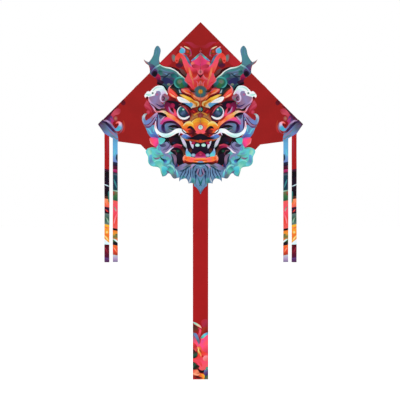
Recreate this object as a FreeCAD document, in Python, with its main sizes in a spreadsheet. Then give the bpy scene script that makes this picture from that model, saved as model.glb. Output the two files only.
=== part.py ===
import FreeCAD, Part
import math
import os

import Sketcher
from FreeCAD import Placement, Rotation, Vector

# Dragon kite: a delta sail on a folding rod frame, with a printed dragon mask, a keel, a tail and
# four ribbons. Millimetres, +Z up, the printed side faces -Y. The origin is where the spine and
# the spreader cross, on the plane of the sail.

SIZES = {
    # sail outline, one wing, seen from the printed side; heights are from the spreader
    "nose_height": 380,
    "half_span": 600,
    "tip_drop": 600,
    "tip_cut_in": 36,
    "tip_cut_drop": 52,
    "ribbon_edge_in": 117,
    "ribbon_edge_drop": 100,
    "corner_x": 350,
    "corner_drop": 338,
    "shoulder_x": 250,
    "shoulder_drop": 440,
    "knee_x": 120,
    "knee_drop": 520,
    "foot_x": 45,
    "foot_drop": 555,
    # cloth and its layers
    "cloth": 0.4,
    "layer_step": 0.7,
    "seam_gap": 0.25,
    "thread_gap": 0.05,
    "fold_line": 14,
    "fold_gap": 1,
    "hem_width": 8,
    "flange_width": 12,
    "sleeve_play": 0.4,
    # rods
    "spine_radius": 2.5,
    "spine_top_drop": 25,
    "spine_foot_rise": 17,
    "edge_rod_radius": 2,
    "edge_rod_inset": 3,
    "edge_rod_top": 40,
    "edge_rod_foot": 12,
    "spreader_radius": 2.5,
    "spreader_lift": 5.9,
    "spreader_start": 20,
    # caps, pockets and sleeves
    "cap_length": 12,
    "cap_wall": 0.8,
    "cap_end": 1.5,
    "cap_rounding": 0.9,
    "fit_gap": 0.05,
    "pocket_length": 36,
    "pocket_rise": 8,
    "nose_pocket_drop": 16,
    "sleeve_top": 60,
    "nose_sleeve_drop": 60,
    "sleeve_opening": 20,
    "sleeve_end_gap": 2,
    # fittings
    "hub_height": 34,
    "hub_radius": 5,
    "hub_half_width": 9,
    "spigot_reach": 11,
    "socket_radius": 4.5,
    "socket_length": 28,
    "socket_depth": 20,
    "socket_end_gap": 2,
    "clip_radius": 4.4,
    "clip_length": 24,
    "web_height": 8,
    "hose_radius": 4,
    "hose_end": 40,
    # dragon mask
    "mask_half_width": 333,
    "mask_top": 241,
    "mask_height": 870,
    "mask_foot_drop": 515,
    "mask_strip_top": 208,
    "mask_crown_rise": 4.5,
    "batten_width": 4,
    "batten_thickness": 0.8,
    "batten_margin": 14,
    "beard_top_drop": 462,
    # keel
    "keel_top": 230,
    "keel_bottom_drop": 240,
    "keel_tip_height": 45,
    "keel_depth": 170,
    "keel_standoff": 1.5,
    "tape_width": 10,
    "tape_thickness": 1.2,
    "patch_reach": 110,
    "eyelet_bore": 2.5,
    "eyelet_wall": 0.6,
    "eyelet_flange": 5.5,
    "eyelet_plate": 0.6,
    "eyelet_setback": 24,
    "eyelet_step": 16,
    "eyelet_drop": 4,
    # tail and ribbons
    "tail_width": 90,
    "tail_length": 1155,
    "tail_gap": 1,
    "tail_start": 3,
    "ribbon_width": 29,
    "outer_ribbon_in": 52,
    "outer_ribbon_length": 745,
    "inner_ribbon_in": 101,
    "inner_ribbon_length": 715,
    "ribbon_gap": 1.5,
}

doc = FreeCAD.newDocument("dragon_kite")
sheet = doc.addObject("Spreadsheet::Sheet", "Sizes")
for row, (alias, number) in enumerate(SIZES.items(), start=1):
    sheet.set(f"A{row}", alias)
    sheet.set(f"B{row}", str(number))
    sheet.setAlias(f"B{row}", alias)
doc.recompute()
size = {alias: float(sheet.get(alias)) for alias in SIZES}

SIDES = {"left": -1, "right": 1}
EYELETS = 3
AXIS_X = Vector(1, 0, 0)
AXIS_Y = Vector(0, 1, 0)
AXIS_Z = Vector(0, 0, 1)
nodes = []

# Places that several pieces share, worked out from the sheet.
half_cloth = size["cloth"] / 2
back_of_sail = half_cloth + size["thread_gap"]
edge_angle = math.atan2(size["half_span"], size["tip_drop"])
edge_length = math.hypot(size["half_span"], size["tip_drop"])
cap_play = size["fit_gap"] + size["cap_wall"] + 2 * size["fit_gap"]
edge_rod_y = back_of_sail + size["cloth"] + size["edge_rod_radius"] + cap_play
spine_y = back_of_sail + size["cloth"] + size["spine_radius"] + cap_play
spreader_y = spine_y + size["spreader_lift"]
spine_top = size["nose_height"] - size["spine_top_drop"]
spine_foot = -size["foot_drop"] + size["spine_foot_rise"]
tail_hinge = -size["foot_drop"] - size["tail_start"]
crossing = (size["nose_height"] - size["edge_rod_inset"] * math.sin(edge_angle)) / math.cos(edge_angle)
crossing_x = crossing * math.sin(edge_angle) - size["edge_rod_inset"] * math.cos(edge_angle)


# ---- helpers -------------------------------------------------------------------------------------

def keep(piece, label):
    """Make a document object one of the kite's nodes."""
    piece.Label = label
    nodes.append(piece)
    return piece


def new_body(label):
    return keep(doc.addObject("PartDesign::Body", label), label)


def sketch_on(body, role):
    """An empty sketch on one of the body's own origin planes."""
    plane = next(item for item in body.Origin.OriginFeatures if item.Role == role)
    sketch = body.newObject("Sketcher::SketchObject", body.Name + "_sketch")
    sketch.AttachmentSupport = [(plane, "")]
    sketch.MapMode = "FlatFace"
    return sketch


def bind(sketch, constraint, text):
    """Add a constraint whose number is a sum of the sheet's sizes."""
    number = sketch.addConstraint(Sketcher.Constraint(*constraint, sheet.evalExpression(text)))
    sketch.setExpression(f"Constraints[{number}]", in_sheet(text))


def draw_circle(sketch, radius, centre=None):
    """A circle round the sketch's origin or round a centre, with its sizes bound to the sheet."""
    place = Vector(*(sheet.evalExpression(text) for text in centre), 0) if centre else Vector()
    circle = sketch.addGeometry(Part.Circle(place, AXIS_Z, sheet.evalExpression(radius)))
    if centre:
        bind(sketch, ("DistanceX", -1, 1, circle, 3), centre[0])
        bind(sketch, ("DistanceY", -1, 1, circle, 3), centre[1])
    else:
        sketch.addConstraint(Sketcher.Constraint("Coincident", circle, 3, -1, 1))
    bind(sketch, ("Radius", circle), radius)


def draw_polygon(sketch, corners):
    """A closed polygon with every corner's two coordinates bound to the sheet."""
    places = [Vector(sheet.evalExpression(x), sheet.evalExpression(y), 0) for x, y in corners]
    for start, end in zip(places, places[1:] + places[:1]):
        sketch.addGeometry(Part.LineSegment(start, end))
    for number, (x, y) in enumerate(corners):
        before = (number - 1) % len(corners)
        sketch.addConstraint(Sketcher.Constraint("Coincident", before, 2, number, 1))
        bind(sketch, ("DistanceX", -1, 1, number, 1), x)
        bind(sketch, ("DistanceY", -1, 1, number, 1), y)


def in_sheet(text):
    """The same sum with each size's name written as a cell of the sheet."""
    words = text.replace("(", "( ").replace(")", " )").split()
    return " ".join("Sizes." + word if word in SIZES else word for word in words)


def pad(body, sketch, length, both_ways=False):
    feature = body.newObject("PartDesign::Pad", body.Name + "_pad")
    feature.Profile = sketch
    feature.setExpression("Length", in_sheet(length))
    feature.Midplane = both_ways
    return feature


def rod(label, radius, length, placement):
    """A round rod along its own Z, from its own origin."""
    body = new_body(label)
    sketch = sketch_on(body, "XY_Plane")
    draw_circle(sketch, radius)
    pad(body, sketch, length)
    body.Placement = placement
    return body


def tube(label, bore, radius, length, placement):
    body = new_body(label)
    sketch = sketch_on(body, "XY_Plane")
    draw_circle(sketch, radius)
    draw_circle(sketch, bore)
    pad(body, sketch, length)
    body.Placement = placement
    return body


def end_cap(label, rod_radius, end, outward):
    """A moulded cup over a rod's end: open at its own origin, domed at the far end."""
    body = new_body(label)
    outer = f"{rod_radius} + fit_gap + cap_wall"
    outline = sketch_on(body, "XY_Plane")
    draw_circle(outline, outer)
    pad(body, outline, "cap_length")
    mouth = sketch_on(body, "XY_Plane")
    draw_circle(mouth, f"{rod_radius} + fit_gap")
    pocket = body.newObject("PartDesign::Pocket", label + "_bore")
    pocket.Profile = mouth
    pocket.Reversed = True
    pocket.setExpression("Length", in_sheet("cap_length - cap_end"))
    doc.recompute()
    dome = body.newObject("PartDesign::Fillet", label + "_dome")
    rim = max(range(len(pocket.Shape.Edges)), key=lambda i: pocket.Shape.Edges[i].CenterOfMass.z)
    dome.Base = (pocket, [f"Edge{rim + 1}"])
    dome.setExpression("Radius", in_sheet("cap_rounding"))
    body.Tip = dome
    start = end + outward * (size["fit_gap"] - size["cap_length"] + size["cap_end"])
    body.Placement = Placement(start, Rotation(AXIS_Z, outward))
    return body


def cloth_panel(label, corners, layer=0):
    """A flat piece of cloth cut to a polygon of (x, z) corners, centred on its layer."""
    body = new_body(label)
    sketch = sketch_on(body, "XZ_Plane")
    draw_polygon(sketch, corners)
    pad(body, sketch, "cloth", both_ways=True)
    body.Placement = Placement(Vector(0, -layer * size["layer_step"], 0), Rotation())
    return body


def cylinder(name, radius, length, placement=Placement()):
    piece = doc.addObject("Part::Cylinder", name)
    piece.setExpression("Radius", in_sheet(radius))
    piece.setExpression("Height", in_sheet(length))
    piece.Placement = placement
    return piece


def block(name, length, width, height, corner):
    piece = doc.addObject("Part::Box", name)
    piece.setExpression("Length", in_sheet(length))
    piece.setExpression("Width", in_sheet(width))
    piece.setExpression("Height", in_sheet(height))
    piece.Placement = Placement(corner, Rotation())
    return piece


def joined(name, pieces):
    piece = doc.addObject("Part::MultiFuse", name)
    piece.Shapes = pieces
    return piece


def less(name, base, tool):
    piece = doc.addObject("Part::Cut", name)
    piece.Base = base
    piece.Tool = tool
    return piece


def formed(label, shape, placement=Placement()):
    """A node whose free-form shape is made directly."""
    piece = doc.addObject("Part::Feature", label)
    piece.Shape = shape
    piece.Placement = placement
    return keep(piece, label)


# ---- places along a leading edge -----------------------------------------------------------------

def on_edge(side, along, inward, depth):
    """A point at a distance down the leading edge, in from it, and behind the sail."""
    x = along * math.sin(edge_angle) - inward * math.cos(edge_angle)
    z = size["nose_height"] - along * math.cos(edge_angle) - inward * math.sin(edge_angle)
    return Vector(side * x, depth, z)


def down_edge(side, along):
    """A placement whose Z runs down the leading edge's rod, and whose side * X points inwards."""
    turn = Rotation(AXIS_Y, side * (180 - math.degrees(edge_angle)))
    return Placement(on_edge(side, along, size["edge_rod_inset"], edge_rod_y), turn)


def sleeve(label, rod_radius, length, rod_y, flange_sides, placement):
    """A sewn rod sleeve: a round top on a flat base, with flanges stitched to the sail."""
    base_y = back_of_sail - rod_y
    outer = size[rod_radius] + size["sleeve_play"] + size["cloth"]
    crown = cylinder(label + "_crown", f"{rod_radius} + sleeve_play + cloth", length)
    walls = block(
        label + "_walls", f"2 * ( {rod_radius} + sleeve_play + cloth )", f"{-base_y}", length,
        Vector(-outer, base_y, 0),
    )
    parts = [crown, walls]
    for number, way in enumerate(flange_sides):
        near = -size["flange_width"] if way < 0 else 0
        parts.append(block(
            f"{label}_flange{number}", "flange_width", "cloth", length, Vector(near, base_y, 0),
        ))
    hollow = cylinder(label + "_hollow", f"{rod_radius} + sleeve_play", length)
    piece = less(label, joined(label + "_solid", parts), hollow)
    piece.Placement = placement
    return keep(piece, label)


def pouch(label, rod_radius, rod_y, placement):
    """A webbing pocket over a rod's end: open at its own origin, closed at the far end."""
    base_y = back_of_sail - rod_y
    wide = f"{rod_radius} + cap_wall + 4 * cloth"
    half = size[rod_radius] + size["cap_wall"] + 4 * size["cloth"]
    inner = half - size["cloth"]
    shell = block(
        label + "_shell", f"2 * ( {wide} )", f"2 * ( {rod_radius} + cap_wall + fit_gap * 3 + cloth )",
        "pocket_length", Vector(-half, base_y, 0),
    )
    room = block(
        label + "_room", f"2 * ( {wide} - cloth )", f"2 * ( {rod_radius} + cap_wall + fit_gap * 3 )",
        "pocket_length - cloth", Vector(-inner, base_y + size["cloth"], 0),
    )
    piece = less(label, shell, room)
    piece.Placement = placement
    return keep(piece, label)


# ---- spine and hub -------------------------------------------------------------------------------

def make_spine():
    length = "nose_height - spine_top_drop + foot_drop - spine_foot_rise"
    rod("spine_rod", "spine_radius", length, Placement(Vector(0, spine_y, spine_foot), Rotation()))
    end_cap("spine_cap_top", "spine_radius", Vector(0, spine_y, spine_top), AXIS_Z)
    end_cap("spine_cap_bottom", "spine_radius", Vector(0, spine_y, spine_foot), AXIS_Z * -1)
    upside_down = Rotation(AXIS_Y, 180)
    nose_mouth = size["nose_height"] - size["nose_pocket_drop"] - size["pocket_length"]
    pouch("nose_pocket", "spine_radius", spine_y, Placement(Vector(0, spine_y, nose_mouth), Rotation()))
    tail_mouth = spine_foot - size["pocket_rise"] + size["pocket_length"]
    pouch("tail_pocket", "spine_radius", spine_y, Placement(Vector(0, spine_y, tail_mouth), upside_down))
    opening = size["sleeve_opening"]
    lower_start = size["nose_sleeve_drop"] - size["foot_drop"]
    sleeve(
        "spine_sleeve_upper", "spine_radius", "nose_height - nose_sleeve_drop - sleeve_opening",
        spine_y, (-1, 1), Placement(Vector(0, spine_y, opening), Rotation()),
    )
    sleeve(
        "spine_sleeve_lower", "spine_radius", "foot_drop - nose_sleeve_drop - sleeve_opening",
        spine_y, (-1, 1), Placement(Vector(0, spine_y, lower_start), Rotation()),
    )


def sail_clearance(name, half_width):
    """A block that keeps a fitting's back clear of the sail and its flanges."""
    front = back_of_sail + size["seam_gap"] - 2 * size["hub_radius"]
    return block(
        name, f"2 * {half_width}", "hub_radius * 2", f"2 * {half_width}",
        Vector(-size[half_width], front, -size[half_width]),
    )


def make_hub():
    """The moulded cross: the spine runs through it, and the hoses push on its two spigots."""
    across = Rotation(AXIS_Y, 90)
    low = -size["hub_height"] / 2
    barrel = cylinder(
        "hub_barrel", "hub_radius", "hub_height", Placement(Vector(0, spine_y, low), Rotation()),
    )
    collar = cylinder(
        "hub_collar", "socket_radius", "2 * hub_half_width",
        Placement(Vector(-size["hub_half_width"], spreader_y, 0), across),
    )
    spigots = cylinder(
        "hub_spigots", "spreader_radius", "2 * spigot_reach",
        Placement(Vector(-size["spigot_reach"], spreader_y, 0), across),
    )
    neck = block(
        "hub_neck", "2 * hub_radius", "spreader_lift", "web_height",
        Vector(-size["hub_radius"], spine_y, -size["web_height"] / 2),
    )
    bore = cylinder(
        "hub_bore", "spine_radius + fit_gap", "hub_height", Placement(Vector(0, spine_y, low), Rotation()),
    )
    solid = joined("hub_solid", [barrel, collar, spigots, neck])
    tools = joined("hub_tools", [bore, sail_clearance("hub_flat", "hub_height")])
    keep(less("centre_fitting", solid, tools), "centre_fitting")


# ---- sail ----------------------------------------------------------------------------------------

def trailing_edge(side):
    """The sail's lower corners as sums of sizes, from the wing tip to the foot."""
    sign = "" if side > 0 else "0 - "
    tip = "nose_height - tip_drop"
    return [
        (f"{sign}half_span", tip),
        (f"{sign}( half_span - tip_cut_in )", f"{tip} - tip_cut_drop"),
        (f"{sign}( half_span - ribbon_edge_in )", f"{tip} - ribbon_edge_drop"),
        (f"{sign}corner_x", "0 - corner_drop"),
        (f"{sign}shoulder_x", "0 - shoulder_drop"),
        (f"{sign}knee_x", "0 - knee_drop"),
        (f"{sign}foot_x", "0 - foot_drop"),
    ]


def trailing_points(side):
    return [(sheet.evalExpression(x), sheet.evalExpression(z)) for x, z in trailing_edge(side)]


def make_sail(word, side):
    sign = "" if side > 0 else "0 - "
    inner = f"{sign}( fold_line + fold_gap / 2 )"
    top = "nose_height - ( fold_line + fold_gap / 2 ) * tip_drop / half_span"
    corners = [(inner, top)] + trailing_edge(side) + [(inner, "0 - foot_drop")]
    cloth_panel("sail_" + word, corners)


def make_sail_strip():
    """The narrow middle strip of the sail that is sewn along the spine."""
    half = "( fold_line - fold_gap / 2 )"
    top = f"nose_height - {half} * tip_drop / half_span"
    corners = [
        ("0", "nose_height"), (half, top), (half, "0 - foot_drop"),
        (f"0 - {half}", "0 - foot_drop"), (f"0 - {half}", top),
    ]
    cloth_panel("sail_centre", corners)


def inset_line(points, width, side):
    """The same open line moved towards the sail, with mitred corners."""
    moved = []
    for index, (x, z) in enumerate(points):
        before = points[max(index - 1, 0)]
        after = points[min(index + 1, len(points) - 1)]
        ways = [(x - before[0], z - before[1]), (after[0] - x, after[1] - z)]
        normals = [(-dz * side, dx * side) for dx, dz in ways if (dx, dz) != (0, 0)]
        units = [(nx / math.hypot(nx, nz), nz / math.hypot(nx, nz)) for nx, nz in normals]
        mean_x = sum(nx for nx, nz in units) / len(units)
        mean_z = sum(nz for nx, nz in units) / len(units)
        stretch = width / (mean_x ** 2 + mean_z ** 2)
        moved.append((x - mean_x * stretch, z - mean_z * stretch))
    return moved


def make_trailing_hem(word, side):
    """A folded hem behind the trailing edge, from the wing tip's lower corner to the foot."""
    line = trailing_points(side)[1:]
    inside = inset_line(line, size["hem_width"], side)
    corners = [Vector(x, 0, z) for x, z in line + inside[::-1]]
    wire = Part.makePolygon(corners + corners[:1])
    strip = Part.Face(wire).extrude(Vector(0, size["cloth"], 0))
    formed("trailing_hem_" + word, strip, Placement(Vector(0, back_of_sail, 0), Rotation()))


# ---- wing frame ----------------------------------------------------------------------------------

def make_edge_rod(word, side):
    full = "sqrt( half_span * half_span + tip_drop * tip_drop )"
    start, end = size["edge_rod_top"], edge_length - size["edge_rod_foot"]
    length = f"{full} - edge_rod_top - edge_rod_foot"
    rod("leading_edge_rod_" + word, "edge_rod_radius", length, down_edge(side, start))
    down = on_edge(side, 1, 0, 0) - on_edge(side, 0, 0, 0)
    end_cap("rod_cap_top_" + word, "edge_rod_radius", down_edge(side, start).Base, down * -1)
    end_cap("rod_cap_tip_" + word, "edge_rod_radius", down_edge(side, end).Base, down)
    mouth = end + size["pocket_rise"] - size["pocket_length"]
    pouch("tip_pocket_" + word, "edge_rod_radius", edge_rod_y, down_edge(side, mouth))


def make_edge_sleeves(word, side):
    """The two lengths of sleeve, left open where the spreader's fitting sits."""
    opening = size["sleeve_opening"]
    mouth = edge_length - size["edge_rod_foot"] + size["pocket_rise"] - size["pocket_length"]
    spans = {
        "upper": (size["sleeve_top"], crossing - opening),
        "lower": (crossing + opening, mouth - size["sleeve_end_gap"]),
    }
    for name, (start, end) in spans.items():
        label = f"edge_sleeve_{name}_{word}"
        sleeve(label, "edge_rod_radius", f"{end - start}", edge_rod_y, (side,), down_edge(side, start))


def make_spreader(word, side):
    """Half of the cross spar, and the hose that joins it to the hub."""
    outwards = Rotation(AXIS_Z, AXIS_X * side)
    mouth = crossing_x - size["socket_end_gap"] - size["socket_length"]
    end = mouth + size["socket_depth"] - size["fit_gap"]
    start = size["spreader_start"]
    rod(
        "spreader_rod_" + word, "spreader_radius", f"{end} - spreader_start",
        Placement(Vector(side * start, spreader_y, 0), outwards),
    )
    tube(
        "spreader_hose_" + word, "spreader_radius + fit_gap", "hose_radius",
        "hose_end - hub_half_width - fit_gap",
        Placement(Vector(side * (size["hub_half_width"] + size["fit_gap"]), spreader_y, 0), outwards),
    )


def make_edge_fitting(word, side):
    """The moulded clip on the leading edge rod, with a blind socket for the spreader."""
    label = "edge_fitting_" + word
    inwards = Rotation(AXIS_Z, AXIS_X * -side)
    half = size["clip_length"] / 2
    clip = cylinder(label + "_clip", "clip_radius", "clip_length", down_edge(side, crossing - half))
    closed_end = crossing_x - size["socket_end_gap"]
    socket = cylinder(
        label + "_socket", "socket_radius", "socket_length",
        Placement(Vector(side * closed_end, spreader_y, 0), inwards),
    )
    web_start = side * (crossing_x - size["clip_radius"]) - size["clip_radius"]
    web = block(
        label + "_web", "2 * clip_radius", "spreader_lift", "web_height",
        Vector(web_start, edge_rod_y, -size["web_height"] / 2),
    )
    rod_way = cylinder(
        label + "_rod_way", "edge_rod_radius + fit_gap", "clip_length", down_edge(side, crossing - half),
    )
    mouth = closed_end - size["socket_length"]
    socket_way = cylinder(
        label + "_socket_way", "spreader_radius + fit_gap", "socket_depth",
        Placement(Vector(side * mouth, spreader_y, 0), Rotation(AXIS_Z, AXIS_X * side)),
    )
    flat = sail_clearance(label + "_flat", "socket_length")
    flat.Placement = Placement(flat.Placement.Base + Vector(side * crossing_x, 0, 0), Rotation())
    solid = joined(label + "_solid", [clip, socket, web])
    tools = joined(label + "_tools", [rod_way, socket_way, flat])
    keep(less(label, solid, tools), label)


# ---- dragon mask ---------------------------------------------------------------------------------

# The mask's outline on one wing, as shares of the mask's half width and of its height from the
# top down. Each run is one smooth curve, and neighbouring runs meet in a corner.
MASK_RUNS = [
    [(0.105, 0.060), (0.155, 0.080)],
    [(0.155, 0.080), (0.165, 0.035), (0.230, 0.000), (0.340, 0.003), (0.405, 0.035), (0.435, 0.070)],
    [(0.435, 0.070), (0.495, 0.058), (0.515, 0.098), (0.470, 0.125)],
    [(0.470, 0.125), (0.600, 0.142), (0.700, 0.122)],
    [(0.700, 0.122), (0.725, 0.100), (0.706, 0.050), (0.706, 0.020), (0.757, 0.000), (0.805, 0.020),
     (0.825, 0.055), (0.860, 0.085), (0.912, 0.110)],
    [(0.912, 0.110), (0.955, 0.103), (1.000, 0.092)],
    [(1.000, 0.092), (0.960, 0.118), (0.915, 0.130)],
    [(0.915, 0.130), (0.893, 0.158), (0.893, 0.182)],
    [(0.893, 0.182), (0.840, 0.205), (0.785, 0.220), (0.800, 0.272)],
    [(0.800, 0.272), (0.870, 0.292), (0.945, 0.312)],
    [(0.945, 0.312), (0.985, 0.340), (0.940, 0.365)],
    [(0.940, 0.365), (1.000, 0.410), (1.022, 0.460), (1.025, 0.505), (0.970, 0.550), (0.905, 0.615),
     (0.880, 0.678)],
    [(0.880, 0.678), (0.940, 0.695), (0.962, 0.712), (0.925, 0.745), (0.918, 0.785), (0.860, 0.810),
     (0.735, 0.820), (0.705, 0.840)],
    [(0.705, 0.840), (0.690, 0.860), (0.670, 0.880)],
    [(0.670, 0.880), (0.615, 0.875), (0.578, 0.860)],
    [(0.578, 0.860), (0.545, 0.860), (0.500, 0.882), (0.425, 0.892)],
    [(0.425, 0.892), (0.300, 0.880), (0.180, 0.869)],
]

# The beard's outline on one side, as shares of the mask's half width and of its height.
BEARD_RUNS = [
    [(0.210, 0.000), (0.330, 0.180), (0.372, 0.560)],
    [(0.372, 0.560), (0.345, 0.490), (0.300, 0.455), (0.255, 0.450), (0.225, 0.520), (0.210, 0.625)],
    [(0.210, 0.625), (0.165, 0.605), (0.135, 0.615), (0.115, 0.705)],
    [(0.115, 0.705), (0.070, 0.770), (0.030, 0.880), (0.000, 1.000)],
]
HORN_ROOT = (0.812, 0.165)
HORN_TIP = (0.760, 0.008)


def curve(points):
    """One run of an outline: a straight line between two points, or a smooth curve through more."""
    if len(points) == 2:
        return Part.LineSegment(points[0], points[1]).toShape()
    spline = Part.BSplineCurve()
    spline.interpolate(points)
    return spline.toShape()


def flat_cloth(edges, layer):
    """Cloth cut to a closed loop of edges in the XZ plane, centred on its layer."""
    face = Part.Face(Part.Wire(Part.__sortEdges__(edges)))
    face.translate(Vector(0, -layer * size["layer_step"] - half_cloth, 0))
    return face.extrude(Vector(0, size["cloth"], 0))


def on_mask(side, share_x, share_z):
    out = share_x * size["mask_half_width"]
    return Vector(side * out, 0, size["mask_top"] - share_z * size["mask_height"])


def make_mask_half(word, side):
    inner = side * (size["fold_line"] + size["fold_gap"] / 2)
    runs = [[on_mask(side, x, z) for x, z in run] for run in MASK_RUNS]
    top = Vector(inner, 0, size["mask_strip_top"])
    foot = Vector(inner, 0, -size["mask_foot_drop"])
    edges = [curve(run) for run in runs]
    edges.append(curve([top, runs[0][0]]))
    edges.append(curve([runs[-1][-1], foot]))
    edges.append(curve([foot, top]))
    formed("mask_" + word, flat_cloth(edges, 1))


def make_mask_strip():
    half = "( fold_line - fold_gap / 2 )"
    top, foot = "mask_strip_top", "0 - mask_foot_drop"
    crown = ("0", "mask_strip_top + mask_crown_rise")
    corners = [crown, (half, top), (half, foot), (f"0 - {half}", foot), (f"0 - {half}", top)]
    cloth_panel("mask_centre", corners, layer=1)


def make_horn_batten(word, side):
    """A flat strip behind the horn, from just outside the leading edge's sleeve to near its tip."""
    root, tip = on_mask(side, *HORN_ROOT), on_mask(side, *HORN_TIP)
    way = (tip - root).normalize()
    slope = size["tip_drop"] / size["half_span"]
    edge_height = size["nose_height"] - abs(root.x) * slope
    rise = (edge_height - root.z) / (way.z + side * way.x * slope)
    margin = size["batten_margin"]
    start = root + way * (rise + margin)
    end = tip - way * (margin / 2)
    turn = Rotation(AXIS_Z, way)
    half = Vector(-size["batten_width"] / 2, -size["batten_thickness"] / 2, 0)
    label = "horn_batten_" + word
    batten = block(label, "batten_width", "batten_thickness", f"{(end - start).Length}", Vector())
    batten.Placement = Placement(start + turn.multVec(half), turn)
    keep(batten, label)


def make_beard():
    top = -size["beard_top_drop"]
    height = size["mask_height"] - size["mask_top"] + top

    def place(side, share_x, share_z):
        return Vector(side * share_x * size["mask_half_width"], 0, top - share_z * height)

    edges = [curve([place(side, x, z) for x, z in run]) for side in (-1, 1) for run in BEARD_RUNS]
    edges.append(curve([place(-1, *BEARD_RUNS[0][0]), place(1, *BEARD_RUNS[0][0])]))
    formed("beard_flap", flat_cloth(edges, 2))


# ---- keel ----------------------------------------------------------------------------------------

def eyelet_place(number):
    """An eyelet's centre as (depth in front, height), in sums of sizes."""
    return (f"eyelet_setback + {number} * eyelet_step - keel_depth", "keel_tip_height - eyelet_drop")


def make_keel_cloth():
    """The triangular keel, drawn in the YZ plane, with a row of holes behind its point."""
    body = new_body("keel_cloth")
    outline = sketch_on(body, "YZ_Plane")
    draw_polygon(outline, [
        ("0 - keel_standoff", "keel_top"),
        ("0 - keel_standoff", "0 - keel_bottom_drop"),
        ("0 - keel_depth", "keel_tip_height"),
    ])
    pad(body, outline, "cloth", both_ways=True)
    holes = sketch_on(body, "YZ_Plane")
    for number in range(EYELETS):
        draw_circle(holes, "eyelet_bore + eyelet_wall + fit_gap", eyelet_place(number))
    pocket = body.newObject("PartDesign::Pocket", "keel_holes")
    pocket.Profile = holes
    pocket.Midplane = True
    pocket.setExpression("Length", in_sheet("cloth * 2"))


def keel_line():
    tip = Vector(0, -size["keel_depth"], size["keel_tip_height"])
    top = Vector(0, -size["keel_standoff"], size["keel_top"])
    foot = Vector(0, -size["keel_standoff"], -size["keel_bottom_drop"])
    return tip, top, foot


def upright_slab(corners, thickness):
    """A flat slab on the YZ plane, centred on it."""
    face = Part.Face(Part.makePolygon(corners + corners[:1]))
    face.translate(Vector(-thickness / 2, 0, 0))
    return face.extrude(Vector(thickness, 0, 0))


def folded_tape(start, end):
    """Tape along one free edge, wide enough to wrap round it."""
    way = (end - start).normalize()
    inwards = Vector(0, abs(way.z), -way.y * math.copysign(1, way.z))
    wrap = inwards * ((size["tape_thickness"] - size["cloth"]) / 2)
    width = inwards * size["tape_width"]
    return upright_slab([start - wrap, end - wrap, end + width, start + width], size["tape_thickness"])


def corner_patch(margin):
    """The reinforcement round the keel's point, or with a margin the space it needs."""
    tip, top, foot = keel_line()
    reach = size["patch_reach"] + margin
    upper = tip + (top - tip).normalize() * reach
    lower = tip + (foot - tip).normalize() * reach
    wrap = AXIS_Y * ((size["tape_thickness"] - size["cloth"]) / 2)
    slab = upright_slab([tip - wrap, upper - wrap, lower - wrap], size["tape_thickness"] + 2 * margin)
    return slab


def make_keel_trim():
    """The edge tape and the corner patch, both folded over the keel cloth."""
    tip, top, foot = keel_line()
    cloth_room = upright_slab([tip, top, foot], size["cloth"] + 2 * size["fit_gap"])
    base = -size["keel_standoff"] - 2 * size["tape_thickness"]
    near_sail = Part.makeBox(
        2 * size["tape_width"], 2 * size["tape_width"], 4 * size["mask_height"],
        Vector(-size["tape_width"], base, -2 * size["mask_height"]),
    )
    tape = folded_tape(top, tip).fuse(folded_tape(foot, tip))
    formed("keel_edge_tape", tape.cut(cloth_room).cut(near_sail).cut(corner_patch(2 * size["fit_gap"])))
    patch = corner_patch(0).cut(cloth_room)
    for number in range(EYELETS):
        depth, height = (sheet.evalExpression(text) for text in eyelet_place(number))
        radius = size["eyelet_bore"] + size["eyelet_wall"] + size["fit_gap"]
        start = Vector(-size["tape_thickness"], depth, height)
        patch = patch.cut(Part.makeCylinder(radius, 2 * size["tape_thickness"], start, AXIS_X))
    formed("keel_patch", patch)


def make_eyelets():
    """Pressed eyelets: a barrel through the keel with a flange on each face."""
    barrel_height = "tape_thickness + 2 * eyelet_plate"
    low = -size["tape_thickness"] / 2 - size["eyelet_plate"]
    lowest = Placement(Vector(0, 0, low), Rotation())
    far_flange = Placement(Vector(0, 0, size["tape_thickness"] / 2), Rotation())
    for number in range(EYELETS):
        label = f"tow_eyelet_{number + 1}"
        barrel = cylinder(label + "_barrel", "eyelet_bore + eyelet_wall", barrel_height, lowest)
        near = cylinder(label + "_near", "eyelet_flange", "eyelet_plate", lowest)
        far = cylinder(label + "_far", "eyelet_flange", "eyelet_plate", far_flange)
        bore = cylinder(label + "_bore", "eyelet_bore", barrel_height, lowest)
        piece = less(label, joined(label + "_solid", [barrel, near, far]), bore)
        depth, height = (sheet.evalExpression(text) for text in eyelet_place(number))
        piece.Placement = Placement(Vector(0, depth, height), Rotation(AXIS_Z, AXIS_X))
        keep(piece, label)


# ---- tail and ribbons ----------------------------------------------------------------------------

def make_tail():
    """The long centre tail in three lengths, one above the other."""
    step = "( ( tail_length - 2 * tail_gap ) / 3 + tail_gap )"
    start = "0 - foot_drop - tail_start - tail_gap / 2"
    for number, name in enumerate(("upper", "middle", "lower")):
        top = f"{start} - {number} * {step}"
        foot = f"{top} - ( tail_length - 2 * tail_gap ) / 3"
        half = "tail_width / 2"
        corners = [(f"0 - {half}", top), (half, top), (half, foot), (f"0 - {half}", foot)]
        cloth_panel("tail_" + name, corners)


def ribbon_edge_height(distance_in):
    """Height of the sail's ribbon edge at a distance in from the wing tip, as a sum of sizes."""
    slope = "( ribbon_edge_drop - tip_cut_drop ) / ( ribbon_edge_in - tip_cut_in )"
    return f"nose_height - tip_drop - tip_cut_drop - ( {distance_in} - tip_cut_in ) * {slope}"


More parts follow.
